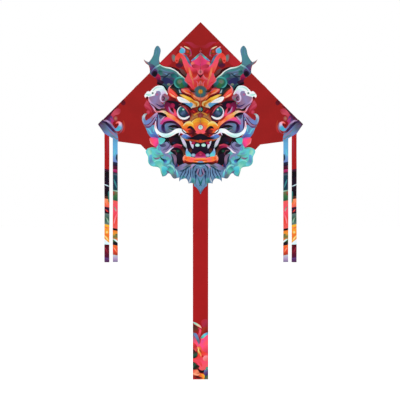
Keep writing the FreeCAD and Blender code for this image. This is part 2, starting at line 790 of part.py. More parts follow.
def make_ribbon(word, side, place, name):
    """One ribbon in two lengths, its top cut to the slant of the edge that it hangs from."""
    sign = "" if side > 0 else "0 - "
    outer_in = f"( {place}_ribbon_in - ribbon_width / 2 )"
    inner_in = f"( {place}_ribbon_in + ribbon_width / 2 )"
    outer_x, inner_x = f"{sign}( half_span - {outer_in} )", f"{sign}( half_span - {inner_in} )"
    centre = ribbon_edge_height(f"{place}_ribbon_in")
    middle = f"{centre} - {place}_ribbon_length / 2"
    if name == "upper":
        tops = [f"{ribbon_edge_height(edge)} - ribbon_gap" for edge in (outer_in, inner_in)]
        foot = f"{middle} + tail_gap / 2"
    else:
        tops = [f"{middle} - tail_gap / 2"] * 2
        foot = f"{centre} - {place}_ribbon_length"
    corners = [(outer_x, tops[0]), (inner_x, tops[1]), (inner_x, foot), (outer_x, foot)]
    cloth_panel(f"ribbon_{place}_{name}_{word}", corners)


# ---- the kite ------------------------------------------------------------------------------------

make_spine()
make_hub()
make_sail_strip()
make_mask_strip()
for word, side in SIDES.items():
    make_sail(word, side)
    make_trailing_hem(word, side)
    make_edge_rod(word, side)
    make_edge_sleeves(word, side)
    make_spreader(word, side)
    make_edge_fitting(word, side)
    make_mask_half(word, side)
    make_horn_batten(word, side)
    for place in ("outer", "inner"):
        for name in ("upper", "lower"):
            make_ribbon(word, side, place, name)
make_beard()
make_keel_cloth()
make_keel_trim()
make_eyelets()
make_tail()
doc.recompute()

for item in doc.Objects:
    if "Invalid" in item.State or "Error" in item.State:
        raise RuntimeError(f"{item.Name} did not rebuild: {item.State}")
for piece in nodes:
    if piece.Shape.isNull() or not piece.Shape.isValid() or not piece.Shape.Solids:
        raise RuntimeError(f"{piece.Label} has no valid solid")

os.makedirs("parts", exist_ok=True)
for piece in nodes:
    piece.Shape.exportStep(f"parts/{piece.Label}.step")
print(f"{len(nodes)} sub-parts written")
for label, height in (("spine_y", spine_y), ("edge_rod_y", edge_rod_y), ("spreader_y", spreader_y)):
    print(f"{label} = {height:.3f}")
print(f"tail hinge at z = {tail_hinge:.1f}, spreader meets the leading edge at x = {crossing_x:.2f}")
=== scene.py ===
import math
import bmesh
import bpy
import numpy as np
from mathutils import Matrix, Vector
from mathutils.geometry import delaunay_2d_cdt


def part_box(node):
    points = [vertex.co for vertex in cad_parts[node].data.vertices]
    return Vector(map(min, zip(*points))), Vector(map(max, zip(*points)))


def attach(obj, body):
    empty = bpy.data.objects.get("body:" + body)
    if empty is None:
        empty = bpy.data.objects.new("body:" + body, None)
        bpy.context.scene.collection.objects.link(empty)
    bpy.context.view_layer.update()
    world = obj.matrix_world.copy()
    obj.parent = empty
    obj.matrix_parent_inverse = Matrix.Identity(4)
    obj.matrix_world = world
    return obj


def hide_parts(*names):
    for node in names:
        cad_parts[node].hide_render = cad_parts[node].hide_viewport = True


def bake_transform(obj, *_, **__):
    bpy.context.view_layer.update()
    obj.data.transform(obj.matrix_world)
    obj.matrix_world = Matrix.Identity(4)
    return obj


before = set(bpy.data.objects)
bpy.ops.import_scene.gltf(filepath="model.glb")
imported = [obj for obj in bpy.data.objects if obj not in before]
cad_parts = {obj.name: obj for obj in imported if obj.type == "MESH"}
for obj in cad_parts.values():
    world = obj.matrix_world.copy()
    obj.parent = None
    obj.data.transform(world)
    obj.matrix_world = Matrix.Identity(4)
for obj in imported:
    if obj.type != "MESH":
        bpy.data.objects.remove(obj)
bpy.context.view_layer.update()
mm = 0.001
noseHeight = 380
print("frame loaded:", len(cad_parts), "parts")

# places in this file are in millimetres: out is the distance from the spine, z the height over the hub
sides = {"left": -1, "right": 1}


class Value:
    # a socket that can be used in sums
    def __init__(self, finish, socket):
        self.finish, self.socket = finish, socket

    def maths(self, operation, *others):
        return self.finish.node("ShaderNodeMath", {"operation": operation}, (self, *others))

    def __add__(self, other):
        return self.maths("ADD", other)

    def __sub__(self, other):
        return self.maths("SUBTRACT", other)

    def __rsub__(self, other):
        return self.finish.node("ShaderNodeMath", {"operation": "SUBTRACT"}, (other, self))

    def __mul__(self, other):
        return self.maths("MULTIPLY", other)

    __radd__, __rmul__ = __add__, __mul__


class Finish:
    # a material with one shader, and short ways to add nodes to it
    def __init__(self, name, **constants):
        self.material = bpy.data.materials.new(name)
        self.material.use_nodes = True
        self.tree = self.material.node_tree
        self.shader = next(n for n in self.tree.nodes if n.type == "BSDF_PRINCIPLED")
        for key, value in constants.items():
            self.shader.inputs[key.replace("_", " ")].default_value = value

    def node(self, kind, settings, inputs=(), output=0):
        made = self.tree.nodes.new(kind)
        for key, value in settings.items():
            if key == "stops":
                ramp = made.color_ramp.elements
                for spot, (place, colour) in enumerate(value):
                    stop = ramp[spot] if spot < 2 else ramp.new(place)
                    stop.position, stop.color = place, (*colour[:3], 1)
            else:
                setattr(made, key, value)
        given = inputs.items() if isinstance(inputs, dict) else enumerate(inputs)
        for key, value in given:
            if isinstance(value, Value):
                self.tree.links.new(value.socket, made.inputs[key])
            else:
                made.inputs[key].default_value = value
        return Value(self, made.outputs[output])

    def noise(self, where, scale, detail=3, roughness=0.5):
        return self.node("ShaderNodeTexNoise", {}, {
            "Vector": where, "Scale": scale, "Detail": detail, "Roughness": roughness})

    def stretched(self, where, scale):
        return self.node("ShaderNodeMapping", {}, {"Vector": where, "Scale": scale})

    def parts(self, where):
        split = self.node("ShaderNodeSeparateXYZ", {}, (where,))
        outputs = split.socket.node.outputs
        return [Value(self, outputs[i]) for i in range(3)]

    def mixed(self, factor, first, second, blend="MIX"):
        return self.node("ShaderNodeMix", {"data_type": "RGBA", "blend_type": blend},
                         {0: factor, 6: first, 7: second}, 2)

    def ranged(self, value, low, high):
        return self.node("ShaderNodeMapRange", {}, {0: value, 3: low, 4: high})

    def cutPlace(self):
        # the map of the flat cut
        return self.node("ShaderNodeUVMap", {"uv_map": "cut"})

    def objectPlace(self):
        return self.node("ShaderNodeTexCoord", {}, (), 3)

    def use(self, socket, value):
        self.tree.links.new(value.socket, self.shader.inputs[socket])

    def bumped(self, height, distance, strength=1.0):
        self.use("Normal", self.node("ShaderNodeBump", {}, {
            "Strength": strength, "Distance": distance, "Height": height}))


def linear(code):
    parts = [int(code[i:i + 2], 16) / 255 for i in (0, 2, 4)]
    return [p / 12.92 if p < 0.04045 else ((p + 0.055) / 1.055) ** 2.4 for p in parts]


def paint(code, strength=1, lift=0):
    return (*[c * strength + lift for c in linear(code)], 1)


# millimetres: the ripstop grid's step and the weave's, and how deep the creases are
clothLook = {"grid": 5.0, "gridWidth": 0.07, "weave": 0.9, "creaseDepth": 0.9}


def clothFinish(name, colour=None, grid=True, sheen=0.03, roughness=0.66):
    # ripstop nylon: a fine weave with a raised grid, drawn on the flat cut's own map
    f = Finish(name, Sheen_Weight=sheen, Sheen_Roughness=0.4, Specular_IOR_Level=0.08)
    flat = f.cutPlace()
    if colour is None:
        base = f.node("ShaderNodeAttribute", {"attribute_name": "print"})
    else:
        base = f.mixed(0, paint(colour), paint(colour))
    cloud = f.noise(flat, 9, 4)
    speck = f.noise(flat, 160, 2)
    tone = f.ranged(cloud, 0.80, 1.16) * f.ranged(speck, 0.95, 1.05)
    u, v, _ = f.parts(flat)
    step = 1000 / clothLook["grid"]
    across = ((u * step).maths("FRACT") - 0.5).maths("ABSOLUTE")
    along = ((v * step).maths("FRACT") - 0.5).maths("ABSOLUTE")
    line = across.maths("MAXIMUM", along).maths("GREATER_THAN", 0.5 - clothLook["gridWidth"])
    fine = 2000 * math.pi / clothLook["weave"]
    weave = (u * fine).maths("SINE") * (v * fine).maths("SINE")
    if grid:
        tone = tone * (1 - line * 0.07)
    grey = f.node("ShaderNodeCombineColor", {}, (tone, tone, tone))
    f.use("Base Color", f.mixed(1, base, grey, "MULTIPLY"))
    f.use("Roughness", f.ranged(cloud, roughness - 0.07, roughness + 0.07) - line * 0.05)
    crease = f.noise(f.stretched(flat, (1, 1.6, 1)), 14, 5, 0.45)
    height = weave * 0.06 + crease * 1.6 + f.noise(flat, 70, 3) * 0.25
    if grid:
        height = height + line * 0.12
    f.bumped(height, 0.001 * clothLook["creaseDepth"], 0.55)
    return f.material


def webbingFinish(name, colour):
    # woven tape: slanting ribs along the cut; the colour drops to half where the ribs dip, painted shade in
    # the weave's grooves, mottled by a random fluff
    f = Finish(name, Sheen_Weight=0.3, Specular_IOR_Level=0.3)
    flat = f.cutPlace()
    u, v, _ = f.parts(flat)
    rib = ((u + v) * 4200).maths("SINE") * ((u - v) * 4200).maths("SINE")
    fluff = f.noise(flat, 900, 3)
    # painted shade: the tape is darkened to half its colour in the low places of the ribs
    f.use("Base Color", f.mixed(f.ranged(rib * fluff, 0.15, 0.9), paint(colour, 0.5), paint(colour)))
    f.use("Roughness", f.ranged(fluff, 0.62, 0.85))
    f.bumped(rib * 0.7 + fluff * 0.6, 0.0003, 0.8)
    return f.material


def rodFinish(name):
    # drawn glass fibre rod: long fine streaks under a thin skin of resin
    f = Finish(name, Coat_Roughness=0.2, Specular_IOR_Level=0.5)
    place = f.objectPlace()
    streak = f.noise(f.stretched(place, (900, 900, 9)), 1, 3)
    dust = f.noise(place, 45, 4)
    f.use("Base Color", f.node("ShaderNodeValToRGB", {"stops": [
        (0.3, linear("121214")), (0.7, linear("2c2c30"))]}, (streak,)))
    f.use("Roughness", f.ranged(dust, 0.24, 0.5))
    f.use("Coat Weight", f.ranged(dust, 0.55, 0.25))
    f.bumped(streak, 0.00006, 0.5)
    return f.material


def mouldedFinish(name, colour, roughness, grain, shine=0.45):
    # moulded plastic or rubber: fine grain, faint flow marks and paler rubbed places
    f = Finish(name, Specular_IOR_Level=shine)
    place = f.objectPlace()
    flow, fineGrain = f.noise(place, 60, 4), f.noise(place, 2600, 2)
    worn = f.ranged(f.noise(place, 230, 5, 0.7), -0.9, 1.2).maths("MAXIMUM", 0.0)
    f.use("Base Color", f.mixed(worn * 0.45, paint(colour), paint(colour, 1.9, 0.012)))
    f.use("Roughness", f.ranged(flow, roughness - 0.08, roughness + 0.1) + worn * 0.06)
    f.bumped(fineGrain * 0.7 + flow * 0.5, grain, 0.6)
    return f.material


def brassFinish(name):
    f = Finish(name, Specular_IOR_Level=0.5)
    place = f.objectPlace()
    tarnish, scratch = f.noise(place, 150, 5, 0.65), f.noise(f.stretched(place, (1, 1, 7)), 1500, 2)
    f.use("Base Color", f.node("ShaderNodeValToRGB", {"stops": [
        (0.32, linear("8a6a34")), (0.62, linear("d8b468"))]}, (tarnish,)))
    f.use("Metallic", f.ranged(tarnish, 0.85, 1.0))
    f.use("Roughness", f.ranged(tarnish * 0.7 + scratch * 0.3, 0.42, 0.16))
    f.bumped(scratch, 0.00004, 0.4)
    return f.material


def threadFinish(name, colour):
    # twisted sewing thread; its colour darkens in the grooves between the twists, painted shade
    f = Finish(name, Sheen_Weight=0.35, Specular_IOR_Level=0.3)
    place = f.objectPlace()
    x, y, z = f.parts(place)
    twist = ((x + y + z) * 9000).maths("SINE")
    fluff = f.noise(place, 1800, 2)
    # painted shade: the thread is darkened towards half its colour where the twist dips
    f.use("Base Color", f.mixed(f.ranged(twist, 0.0, 0.8), paint(colour, 0.55), paint(colour)))
    f.use("Roughness", f.ranged(fluff, 0.5, 0.8))
    f.bumped(twist, 0.0001, 0.7)
    return f.material


finishes = {
    "print": clothFinish("printed ripstop"),
    "sleeve": clothFinish("sleeve cloth", "8c1c24", grid=False, roughness=0.7),
    "keel": clothFinish("keel ripstop", "8f1a1a"),
    "webbing": webbingFinish("black webbing", "26262a"),
    "tape": webbingFinish("edge tape", "c23a34"),
    "rod": rodFinish("glass fibre rod"),
    "batten": mouldedFinish("batten strip", "d8d4c4", 0.42, 0.00004),
    "vinyl": mouldedFinish("vinyl cap", "17171a", 0.4, 0.00003, 0.5),
    "hose": mouldedFinish("rubber hose", "1b1b1d", 0.55, 0.00006, 0.35),
    "fitting": mouldedFinish("moulded nylon", "202124", 0.48, 0.00005),
    "brass": brassFinish("pressed brass"),
    "darkThread": threadFinish("dark thread", "4a1018"),
    "redThread": threadFinish("red thread", "b8343c"),
}
print("materials made:", len(finishes))


inks = {
    "sail": "991b1a", "sailDark": "86161a", "tailRed": "a81719", "storm": "546a94", "dusk": "6b94ba",
    "cherry": "bd2630", "wine": "6a1024", "maroon": "4a0410",
    "crimson": "b02c48", "rose": "cc4c60", "dusty": "a04a52", "redDeep": "9c1414", "scarlet": "ee4030",
    "coral": "f4605a", "pink": "ff5070", "hotPink": "ff4a90", "blush": "ff9aa4", "orchid": "d8509c",
    "magenta": "b83478", "berry": "960c48", "plum": "4c1238", "night": "1c0c26", "black": "070308",
    "rust": "a83c1c", "brown": "5a3426", "brownRose": "6e4448", "tan": "b88c58", "cream": "f0dab0",
    "butter": "f6e090", "yellow": "ffd650", "gold": "fabc34", "amber": "ea9a2e", "orange": "f4772e",
    "salmon": "ff9670", "peach": "ffb890", "olive": "7c6c50", "green": "3a7440", "pine": "1e5a44",
    "greyGreen": "66807a", "hornBlue": "4e7e92", "hornTeal": "46868c", "hornGreen": "3e7a70",
    "seafoam": "5cc0b4", "mint": "9ee0c6", "aqua": "66d4dc", "cyan": "3eb4ca", "teal": "2a8486",
    "deepTeal": "12424c", "navy": "1a2c50", "indigo": "32265e", "slate": "566078", "steel": "6088ae",
    "blue": "4a7cc8", "sky": "62aedc", "periwinkle": "6c82c2", "lavender": "8c82b2", "violet": "60407e",
    "lilac": "b698c8", "mauve": "92708e", "paleLilac": "dcc8ea", "ice": "d2f4fa", "white": "fbfcff",
    "mist": "c2ced8",
}
inkStrength = 0.86
inkValues = {name: np.array(linear(code)) * inkStrength for name, code in inks.items()}


def inkStops(words):
    return [inkValues[word] for word in words.split(">")]


def tint(stops, share):
    # the value at a share of the way along a list of inks or widths
    if len(stops) == 1:
        return stops[0]
    spot = min(max(share, 0), 1) * (len(stops) - 1)
    k = min(int(spot), len(stops) - 2)
    return stops[k] + (stops[k + 1] - stops[k]) * (spot - k)


printSize = {"step": 4.5, "mostSteps": 14, "thinnest": 0.3, "roundEnd": 4, "leastArea": 0.02, "wideDot": 8}


def rounded(points, closed):
    # a smooth line through the points
    count = len(points)
    made = []
    for i in range(count if closed else count - 1):
        if closed:
            a, b, c, d = (points[(i + k) % count] for k in (-1, 0, 1, 2))
        else:
            a, b, c, d = (points[min(max(i + k, 0), count - 1)] for k in (-1, 0, 1, 2))
        steps = round(math.dist(b[:2], c[:2]) / printSize["step"])
        steps = max(2, min(printSize["mostSteps"], steps))
        for k in range(steps):
            t = k / steps
            made.append([
                0.5 * (2 * q + (r - p) * t + (2 * p - 5 * q + 4 * r - s) * t * t
                       + (3 * q - p - 3 * r + s) * t * t * t)
                for p, q, r, s in zip(a, b, c, d)])
    if not closed:
        made.append(list(points[-1]))
    return made


def turnedArea(ring):
    # over nothing for a counterclockwise ring
    return sum(a[0] * b[1] - b[0] * a[1] for a, b in zip(ring, ring[1:] + ring[:1])) / 2


def areaOf(ring):
    return abs(turnedArea(ring))


def inside(ring, places):
    # which of the places lie in the ring
    x, z = places[:, 0], places[:, 1]
    found = np.zeros(len(places), bool)
    for a, b in zip(ring, ring[1:] + ring[:1]):
        if a[1] != b[1]:
            crossing = (b[0] - a[0]) * (z - a[1]) / (b[1] - a[1]) + a[0]
            found ^= ((a[1] > z) != (b[1] > z)) & (x < crossing)
    return found


def turnedLeft(ring):
    # the same ring, counterclockwise
    return ring if turnedArea(ring) > 0 else ring[::-1]


class Artwork:
    # shapes in the order they are printed, each a ring of points with the ink at any place in it
    def __init__(self, *parts):
        self.layers = []
        for part in parts:
            part(self)

    def flat(self, ring, inkWords, start, end):
        stops = inkStops(inkWords)
        way = Vector(end) - Vector(start)
        reach = max(way.length_squared, 1e-6)
        self.layers.append((turnedLeft([list(p[:2]) for p in ring]), lambda x, z: tint(
            stops, ((x - start[0]) * way.x + (z - start[1]) * way.y) / reach)))

    def shard(self, inkWords, *points, smooth=False):
        # its inks run from its first point to the one furthest from it
        far = max(points, key=lambda p: math.dist(p, points[0]))
        self.flat(rounded(points, True) if smooth else points, inkWords, points[0], far)

    def patch(self, inkWords, *points):
        self.shard(inkWords, *points, smooth=True)

    def line(self, inkWords, widths, *points):
        # a brush stroke, as wide as widths says along it
        stops, last = inkStops(inkWords), len(points) - 1
        path = rounded([(*p, tint(widths, i / last)) for i, p in enumerate(points)], False)
        edges = []
        for i, (x, z, w) in enumerate(path):
            before, after = path[max(i - 1, 0)], path[min(i + 1, len(path) - 1)]
            way = Vector((after[0] - before[0], after[1] - before[1])).normalized()
            half = max(w, printSize["thinnest"]) / 2
            edges.append(((x - way.y * half, z + way.x * half), (x + way.y * half, z - way.x * half)))
        total = len(path) - 1
        for end, word in ((0, 0), (total, -1)):
            if path[end][2] > printSize["roundEnd"]:
                self.dot(inkWords.split(">")[word], path[end][:2], path[end][2] / 2)
        for i in range(total):
            a, b = path[i], path[i + 1]
            first, second = tint(stops, i / total), tint(stops, (i + 1) / total)
            way = Vector((b[0] - a[0], b[1] - a[1]))
            reach = max(way.length_squared, 1e-6)

            def along(x, z, a=a, way=way, reach=reach, first=first, second=second):
                share = ((x - a[0]) * way.x + (z - a[1]) * way.y) / reach
                return first + (second - first) * min(max(share, 0), 1)
            (left, right), (nextLeft, nextRight) = edges[i], edges[i + 1]
            for ring in ((left, right, nextRight), (left, nextRight, nextLeft)):
                ring = [list(p) for p in ring]
                if areaOf(ring) > printSize["leastArea"]:
                    self.layers.append((turnedLeft(ring), along))

    def dot(self, inkWords, centre, radius, flatness=1.0, turn=0):
        # a disc or oval, whose inks run from the centre out
        stops = inkStops(inkWords)
        c, s = math.cos(math.radians(turn)), math.sin(math.radians(turn))
        count = 10 if radius < printSize["wideDot"] else 18
        for size in (1.0,) if len(stops) == 1 else (1.0, 0.6, 0.25):
            ring = []
            for k in range(count):
                a = 2 * math.pi * k / count
                p, q = radius * size * math.cos(a), radius * size * flatness * math.sin(a)
                ring.append([centre[0] + p * c - q * s, centre[1] + p * s + q * c])

            def inward(x, z):
                p, q = x - centre[0], z - centre[1]
                return tint(stops, math.hypot(p * c + q * s, (q * c - p * s) / flatness) / radius)
            self.layers.append((ring, inward))


def hornArt(a):
    a.patch("hornBlue>hornTeal>slate>deepTeal>night", (270, 248), (232, 248), (226, 215), (234, 180),
        (243, 152), (238, 131), (212, 118), (180, 113), (150, 101), (128, 83), (108, 61), (88, 45),
        (84, 20), (100, -6), (116, -26), (114, -52), (130, -46), (150, -20), (172, -8), (190, -24),
        (206, -2), (232, 18), (264, 30), (286, 45), (304, 80), (292, 105), (299, 125), (312, 140),
        (304, 156), (288, 175), (274, 202))
    a.patch("hornTeal>hornBlue", (292, 158), (268, 172), (248, 160), (246, 142), (262, 132), (290, 138))
    a.line("slate>hornTeal", (3, 10, 4), (276, 196), (284, 172), (300, 150))
    a.line("steel>hornBlue", (3, 9, 8, 3), (246, 236), (240, 212), (242, 186), (250, 164))
    a.line("hornBlue>steel", (2, 6, 2), (262, 232), (258, 205), (264, 184))
    a.line("slate>mist", (15, 8, 2), (300, 143), (314, 146), (330, 160))
    a.patch("slate>indigo", (300, 136), (280, 132), (262, 112), (282, 96), (294, 112))
    a.patch("violet>night", (292, 118), (266, 108), (252, 92), (254, 72), (270, 60), (286, 70), (293, 94))
    a.dot("black>night", (268, 76), 16, 1.1)
    a.patch("crimson>berry>crimson", (304, 74), (288, 58), (264, 57), (250, 78), (240, 74), (232, 52),
        (236, 36), (262, 26), (288, 32), (306, 50))
    a.patch("berry>plum", (250, 60), (238, 56), (236, 42), (250, 36), (262, 46))
    a.line("slate>steel>mint", (3, 6, 9, 6), (290, 86), (272, 108), (254, 120), (236, 129))
    a.patch("hornGreen>hornTeal>hornGreen", (248, 116), (222, 112), (190, 108), (160, 100), (138, 91),
        (112, 64), (100, 46), (114, 52), (134, 68), (158, 84), (186, 90), (218, 90), (244, 98))
    a.patch("deepTeal>hornGreen", (244, 96), (226, 92), (218, 78), (232, 66), (246, 78))
    a.line("steel>slate", (3, 8, 7, 3), (232, 104), (206, 92), (184, 86), (152, 86))
    a.line("slate>steel>slate", (3, 8, 8, 3), (226, 84), (204, 78), (186, 68), (172, 70))
    a.line("night>deepTeal", (3, 9, 9, 3), (236, 62), (212, 58), (196, 66), (180, 80))
    a.patch("navy>indigo", (222, 50), (198, 54), (176, 44), (160, 28), (176, 12), (202, 14), (220, 30))
    a.patch("deepTeal>teal", (176, 70), (156, 78), (140, 66), (138, 52), (158, 50))
    a.line("indigo>slate", (2, 8, 8, 2), (182, 48), (164, 50), (150, 44), (140, 30))
    a.patch("plum>night", (262, 34), (246, 42), (224, 36), (214, 24), (232, 12), (254, 14))
    a.dot("olive>greyGreen", (186, 14), 10, 0.7)
    a.line("mint>white>mint", (2, 6, 8, 8, 8, 6, 4), (242, 134), (226, 122), (204, 114), (180, 110),
        (157, 102), (140, 92), (124, 74), (104, 58), (88, 44))
    a.line("maroon>black", (3, 12, 15, 12, 4), (182, 118), (152, 108), (126, 93), (103, 72), (84, 55))
    a.patch("black>deepTeal", (178, 2), (158, 16), (140, 10), (128, -10), (116, -14), (112, -34),
        (120, -54), (138, -44), (152, -26), (172, -10))
    a.line("black", (3, 12, 14, 12, 4), (266, 30), (243, 19), (221, 5), (204, -9), (191, -26))
    a.line("brown>black", (3, 13, 14, 12, 10, 3), (178, -4), (160, -14), (146, -27), (134, -42), (118, -54),
        (98, -60))
    a.line("dusty>slate", (2, 6, 6, 2), (190, -26), (186, -8), (176, 6), (158, 20))
    a.dot("green>pine>teal", (122, 24), 32)
    a.line("seafoam>teal>seafoam", (3, 9, 9, 8, 7, 3), (104, 56), (128, 55), (147, 42), (152, 22), (143, 4),
        (128, -6))
    a.dot("olive>greyGreen>green", (120, 30), 19, 0.85)
    a.patch("green>pine", (118, 18), (106, 26), (96, 14), (92, -4), (106, -8), (124, -2))
    a.patch("teal>night", (102, 38), (90, 26), (74, 16), (62, 6), (66, -6), (84, -4), (96, 6), (106, 22))
    a.line("lilac>steel", (2, 6, 6, 2), (92, 50), (91, 38), (86, 28), (72, 18))
    a.dot("maroon", (70, 4), 9, 1.1)


def crestArt(a):
    a.patch("cherry>scarlet>cherry", (234, 142), (206, 160), (178, 176), (176, 150), (188, 128), (214, 126))
    a.dot("greyGreen>dusty", (158, 172), 26, 0.46, 84)
    a.dot("greyGreen", (152, 170), 15, 0.5, 84)
    a.patch("wine>plum>brownRose>brown", (168, 126), (148, 138), (132, 122), (114, 100), (92, 74), (76, 52),
        (66, 64), (72, 84), (86, 108), (96, 128), (110, 162), (126, 154), (140, 140), (152, 132))
    a.patch("brownRose>brown", (124, 108), (100, 100), (84, 78), (70, 60), (90, 64), (112, 84))
    a.dot("greyGreen>black", (80, 68), 8, 1.1)
    a.patch("hotPink>pink>coral", (0, 198), (22, 184), (42, 166), (58, 134), (76, 150), (88, 184),
        (104, 196), (96, 150), (92, 110), (78, 80), (90, 46), (92, 38), (76, 20), (61, 3), (46, -13),
        (20, -14), (-6, -12), (-6, 196))
    a.line("coral>scarlet>coral>pink>coral>scarlet", (18, 27, 30, 32, 30, 22, 16), (139, 150), (136, 170),
        (119, 186), (99, 176), (90, 148), (84, 118), (74, 88))
    a.line("scarlet>pink", (2, 9, 10, 3), (132, 176), (114, 184), (100, 168), (97, 140))
    a.dot("redDeep>scarlet", (139, 153), 8)
    a.patch("olive>brown>plum>wine", (116, 167), (106, 158), (106, 144), (102, 126), (118, 112), (136, 114),
        (146, 130), (132, 138), (126, 152))
    a.line("lilac>slate>steel>slate>lilac", (4, 11, 13, 12, 5), (106, 193), (87, 180), (75, 160), (66, 142),
        (54, 122))
    a.dot("cherry", (80, 190), 9, 0.6, 30)
    a.line("cream>cream>magenta>magenta>rose", (3, 8, 9, 9, 9, 3), (96, 237), (77, 229), (60, 217),
        (52, 202), (54, 188), (66, 178))
    a.line("blush", (2, 8, 3), (126, 243), (117, 235), (104, 228))
    a.patch("cyan>sky", (124, 204), (119, 220), (106, 230), (95, 222), (93, 206), (103, 196), (116, 197))
    a.line("paleLilac>periwinkle", (2, 5, 6, 3), (108, 230), (95, 222), (91, 208), (98, 196))
    a.dot("scarlet>rust>brown", (75, 207), 15)
    a.patch("pink>hotPink", (-6, 188), (12, 178), (34, 154), (30, 136), (10, 126), (-6, 128))
    a.line("lilac>periwinkle>aqua>seafoam>mauve>lilac", (5, 11, 12, 12, 12, 14), (54, 152), (42, 160),
        (28, 170), (16, 182), (2, 194), (-8, 198))
    a.patch("salmon>pink", (54, 144), (40, 146), (32, 138), (42, 130), (54, 132))
    a.patch("crimson>pink", (50, 128), (28, 132), (6, 122), (4, 110), (22, 108), (44, 112))
    a.patch("pink>cherry>scarlet", (50, 108), (30, 106), (18, 92), (22, 66), (40, 54), (52, 72))
    a.line("orange>salmon>orange", (4, 12, 13, 12, 5), (68, 116), (64, 98), (59, 80), (55, 62), (46, 48))
    a.line("scarlet", (2, 8, 2), (54, 96), (50, 82), (44, 62))
    a.patch("coral>pink>scarlet>orange", (92, 40), (70, 38), (44, 46), (20, 42), (-6, 46), (-6, -8),
        (20, -13), (45, -14), (60, 2), (76, 20))
    a.line("blush>coral", (2, 10, 8, 2), (14, 74), (22, 56), (38, 46), (60, 42))
    a.line("salmon>scarlet", (2, 9, 7, 2), (54, 52), (44, 30), (42, 10), (46, -8))
    a.line("scarlet>pink", (2, 9, 8, 2), (80, 30), (60, 22), (46, 8), (34, -8))
    a.line("pink>blush", (2, 8, 7, 2), (30, 38), (18, 26), (16, 8), (20, -8))
    a.dot("dusty>blush>pink", (0, 88), 18)
    a.shard("maroon", (22, 82), (0, 50), (-6, 52), (-6, 66), (2, 68))
    a.shard("blush>coral", (0, 40), (12, 20), (0, 4), (-6, 20))


def browArt(a):
    a.dot("olive>greyGreen>teal>slate>greyGreen", (0, -30), 40, 0.95)
    a.line("rust>olive", (2, 6, 5, 2), (44, -30), (38, -52), (20, -66), (-4, -70))
    a.dot("amber>gold>olive", (0, -27), 15)
    a.patch("coral>rose>dusty", (112, -12), (92, -10), (70, -10), (58, -24), (38, -34), (30, -52),
        (60, -44), (90, -34), (110, -24))
    a.line("blush>orange>scarlet>orange", (3, 12, 16, 10, 3), (108, -14), (88, -22), (72, -30), (58, -42),
        (46, -52))
    a.line("peach>salmon", (2, 6, 5, 2), (104, -20), (86, -33), (68, -40), (56, -46))
    a.patch("black>brown", (64, -14), (50, -20), (30, -24), (34, -32), (52, -30))
    a.patch("coral>scarlet>rust", (186, -8), (170, -14), (150, -31), (136, -47), (130, -62), (146, -72),
        (168, -64), (186, -40))
    a.patch("redDeep>maroon", (184, -52), (164, -60), (144, -72), (148, -84), (170, -76), (182, -66))
    a.line("salmon>peach>scarlet", (2, 9, 8, 2), (182, -36), (166, -50), (148, -60), (134, -64))
    a.line("coral", (2, 7, 7, 2), (176, -18), (162, -34), (150, -46), (136, -54))
    a.line("blush>dusty", (2, 6, 7, 3), (172, 6), (182, -4), (188, -22), (189, -40))
    a.line("mist>slate", (3, 9, 8, 2), (125, -16), (120, -30), (112, -42), (102, -52))
    a.line("rust>orange>salmon>salmon", (12, 16, 18, 16), (58, -34), (42, -52), (22, -68), (-6, -72))
    a.line("peach>salmon", (2, 9, 3), (42, -46), (34, -56), (22, -62))
    a.line("orange>rust>orange", (4, 9, 9, 6), (36, -62), (18, -78), (6, -92), (-6, -96))
    a.patch("rust>orange", (16, -84), (-6, -84), (-6, -118), (10, -110), (14, -98))
    a.line("amber>gold>gold>amber>gold", (3, 18, 25, 26, 22, 12, 6), (122, -46), (98, -54), (74, -68),
        (52, -84), (34, -96), (20, -108), (24, -120))
    a.line("butter>yellow>gold", (2, 10, 11, 4), (110, -50), (88, -58), (68, -68), (54, -80))
    a.line("rust>amber>rust", (2, 7, 8, 7, 2), (62, -76), (46, -86), (32, -94), (22, -104), (26, -116))
    a.line("butter", (2, 8, 9, 7, 2), (38, -82), (24, -86), (14, -94), (13, -106), (22, -118))
    a.line("brown>rust", (2, 6, 6, 2), (114, -38), (90, -46), (68, -56), (42, -66))
    a.patch("peach>cream>tan", (56, -90), (42, -96), (30, -108), (24, -122), (40, -132), (58, -120))
    a.patch("periwinkle>sky>sky", (104, -94), (78, -90), (54, -92), (44, -104), (56, -120), (76, -112),
        (92, -102))
    a.patch("cream>mist", (46, -112), (34, -110), (28, -122), (40, -132), (50, -124))
    a.patch("white", (138, -60), (122, -58), (104, -64), (84, -74), (64, -88), (62, -94), (84, -93),
        (106, -92), (124, -86), (134, -74))
    a.line("ice", (2, 6, 2), (122, -66), (106, -76), (88, -84))


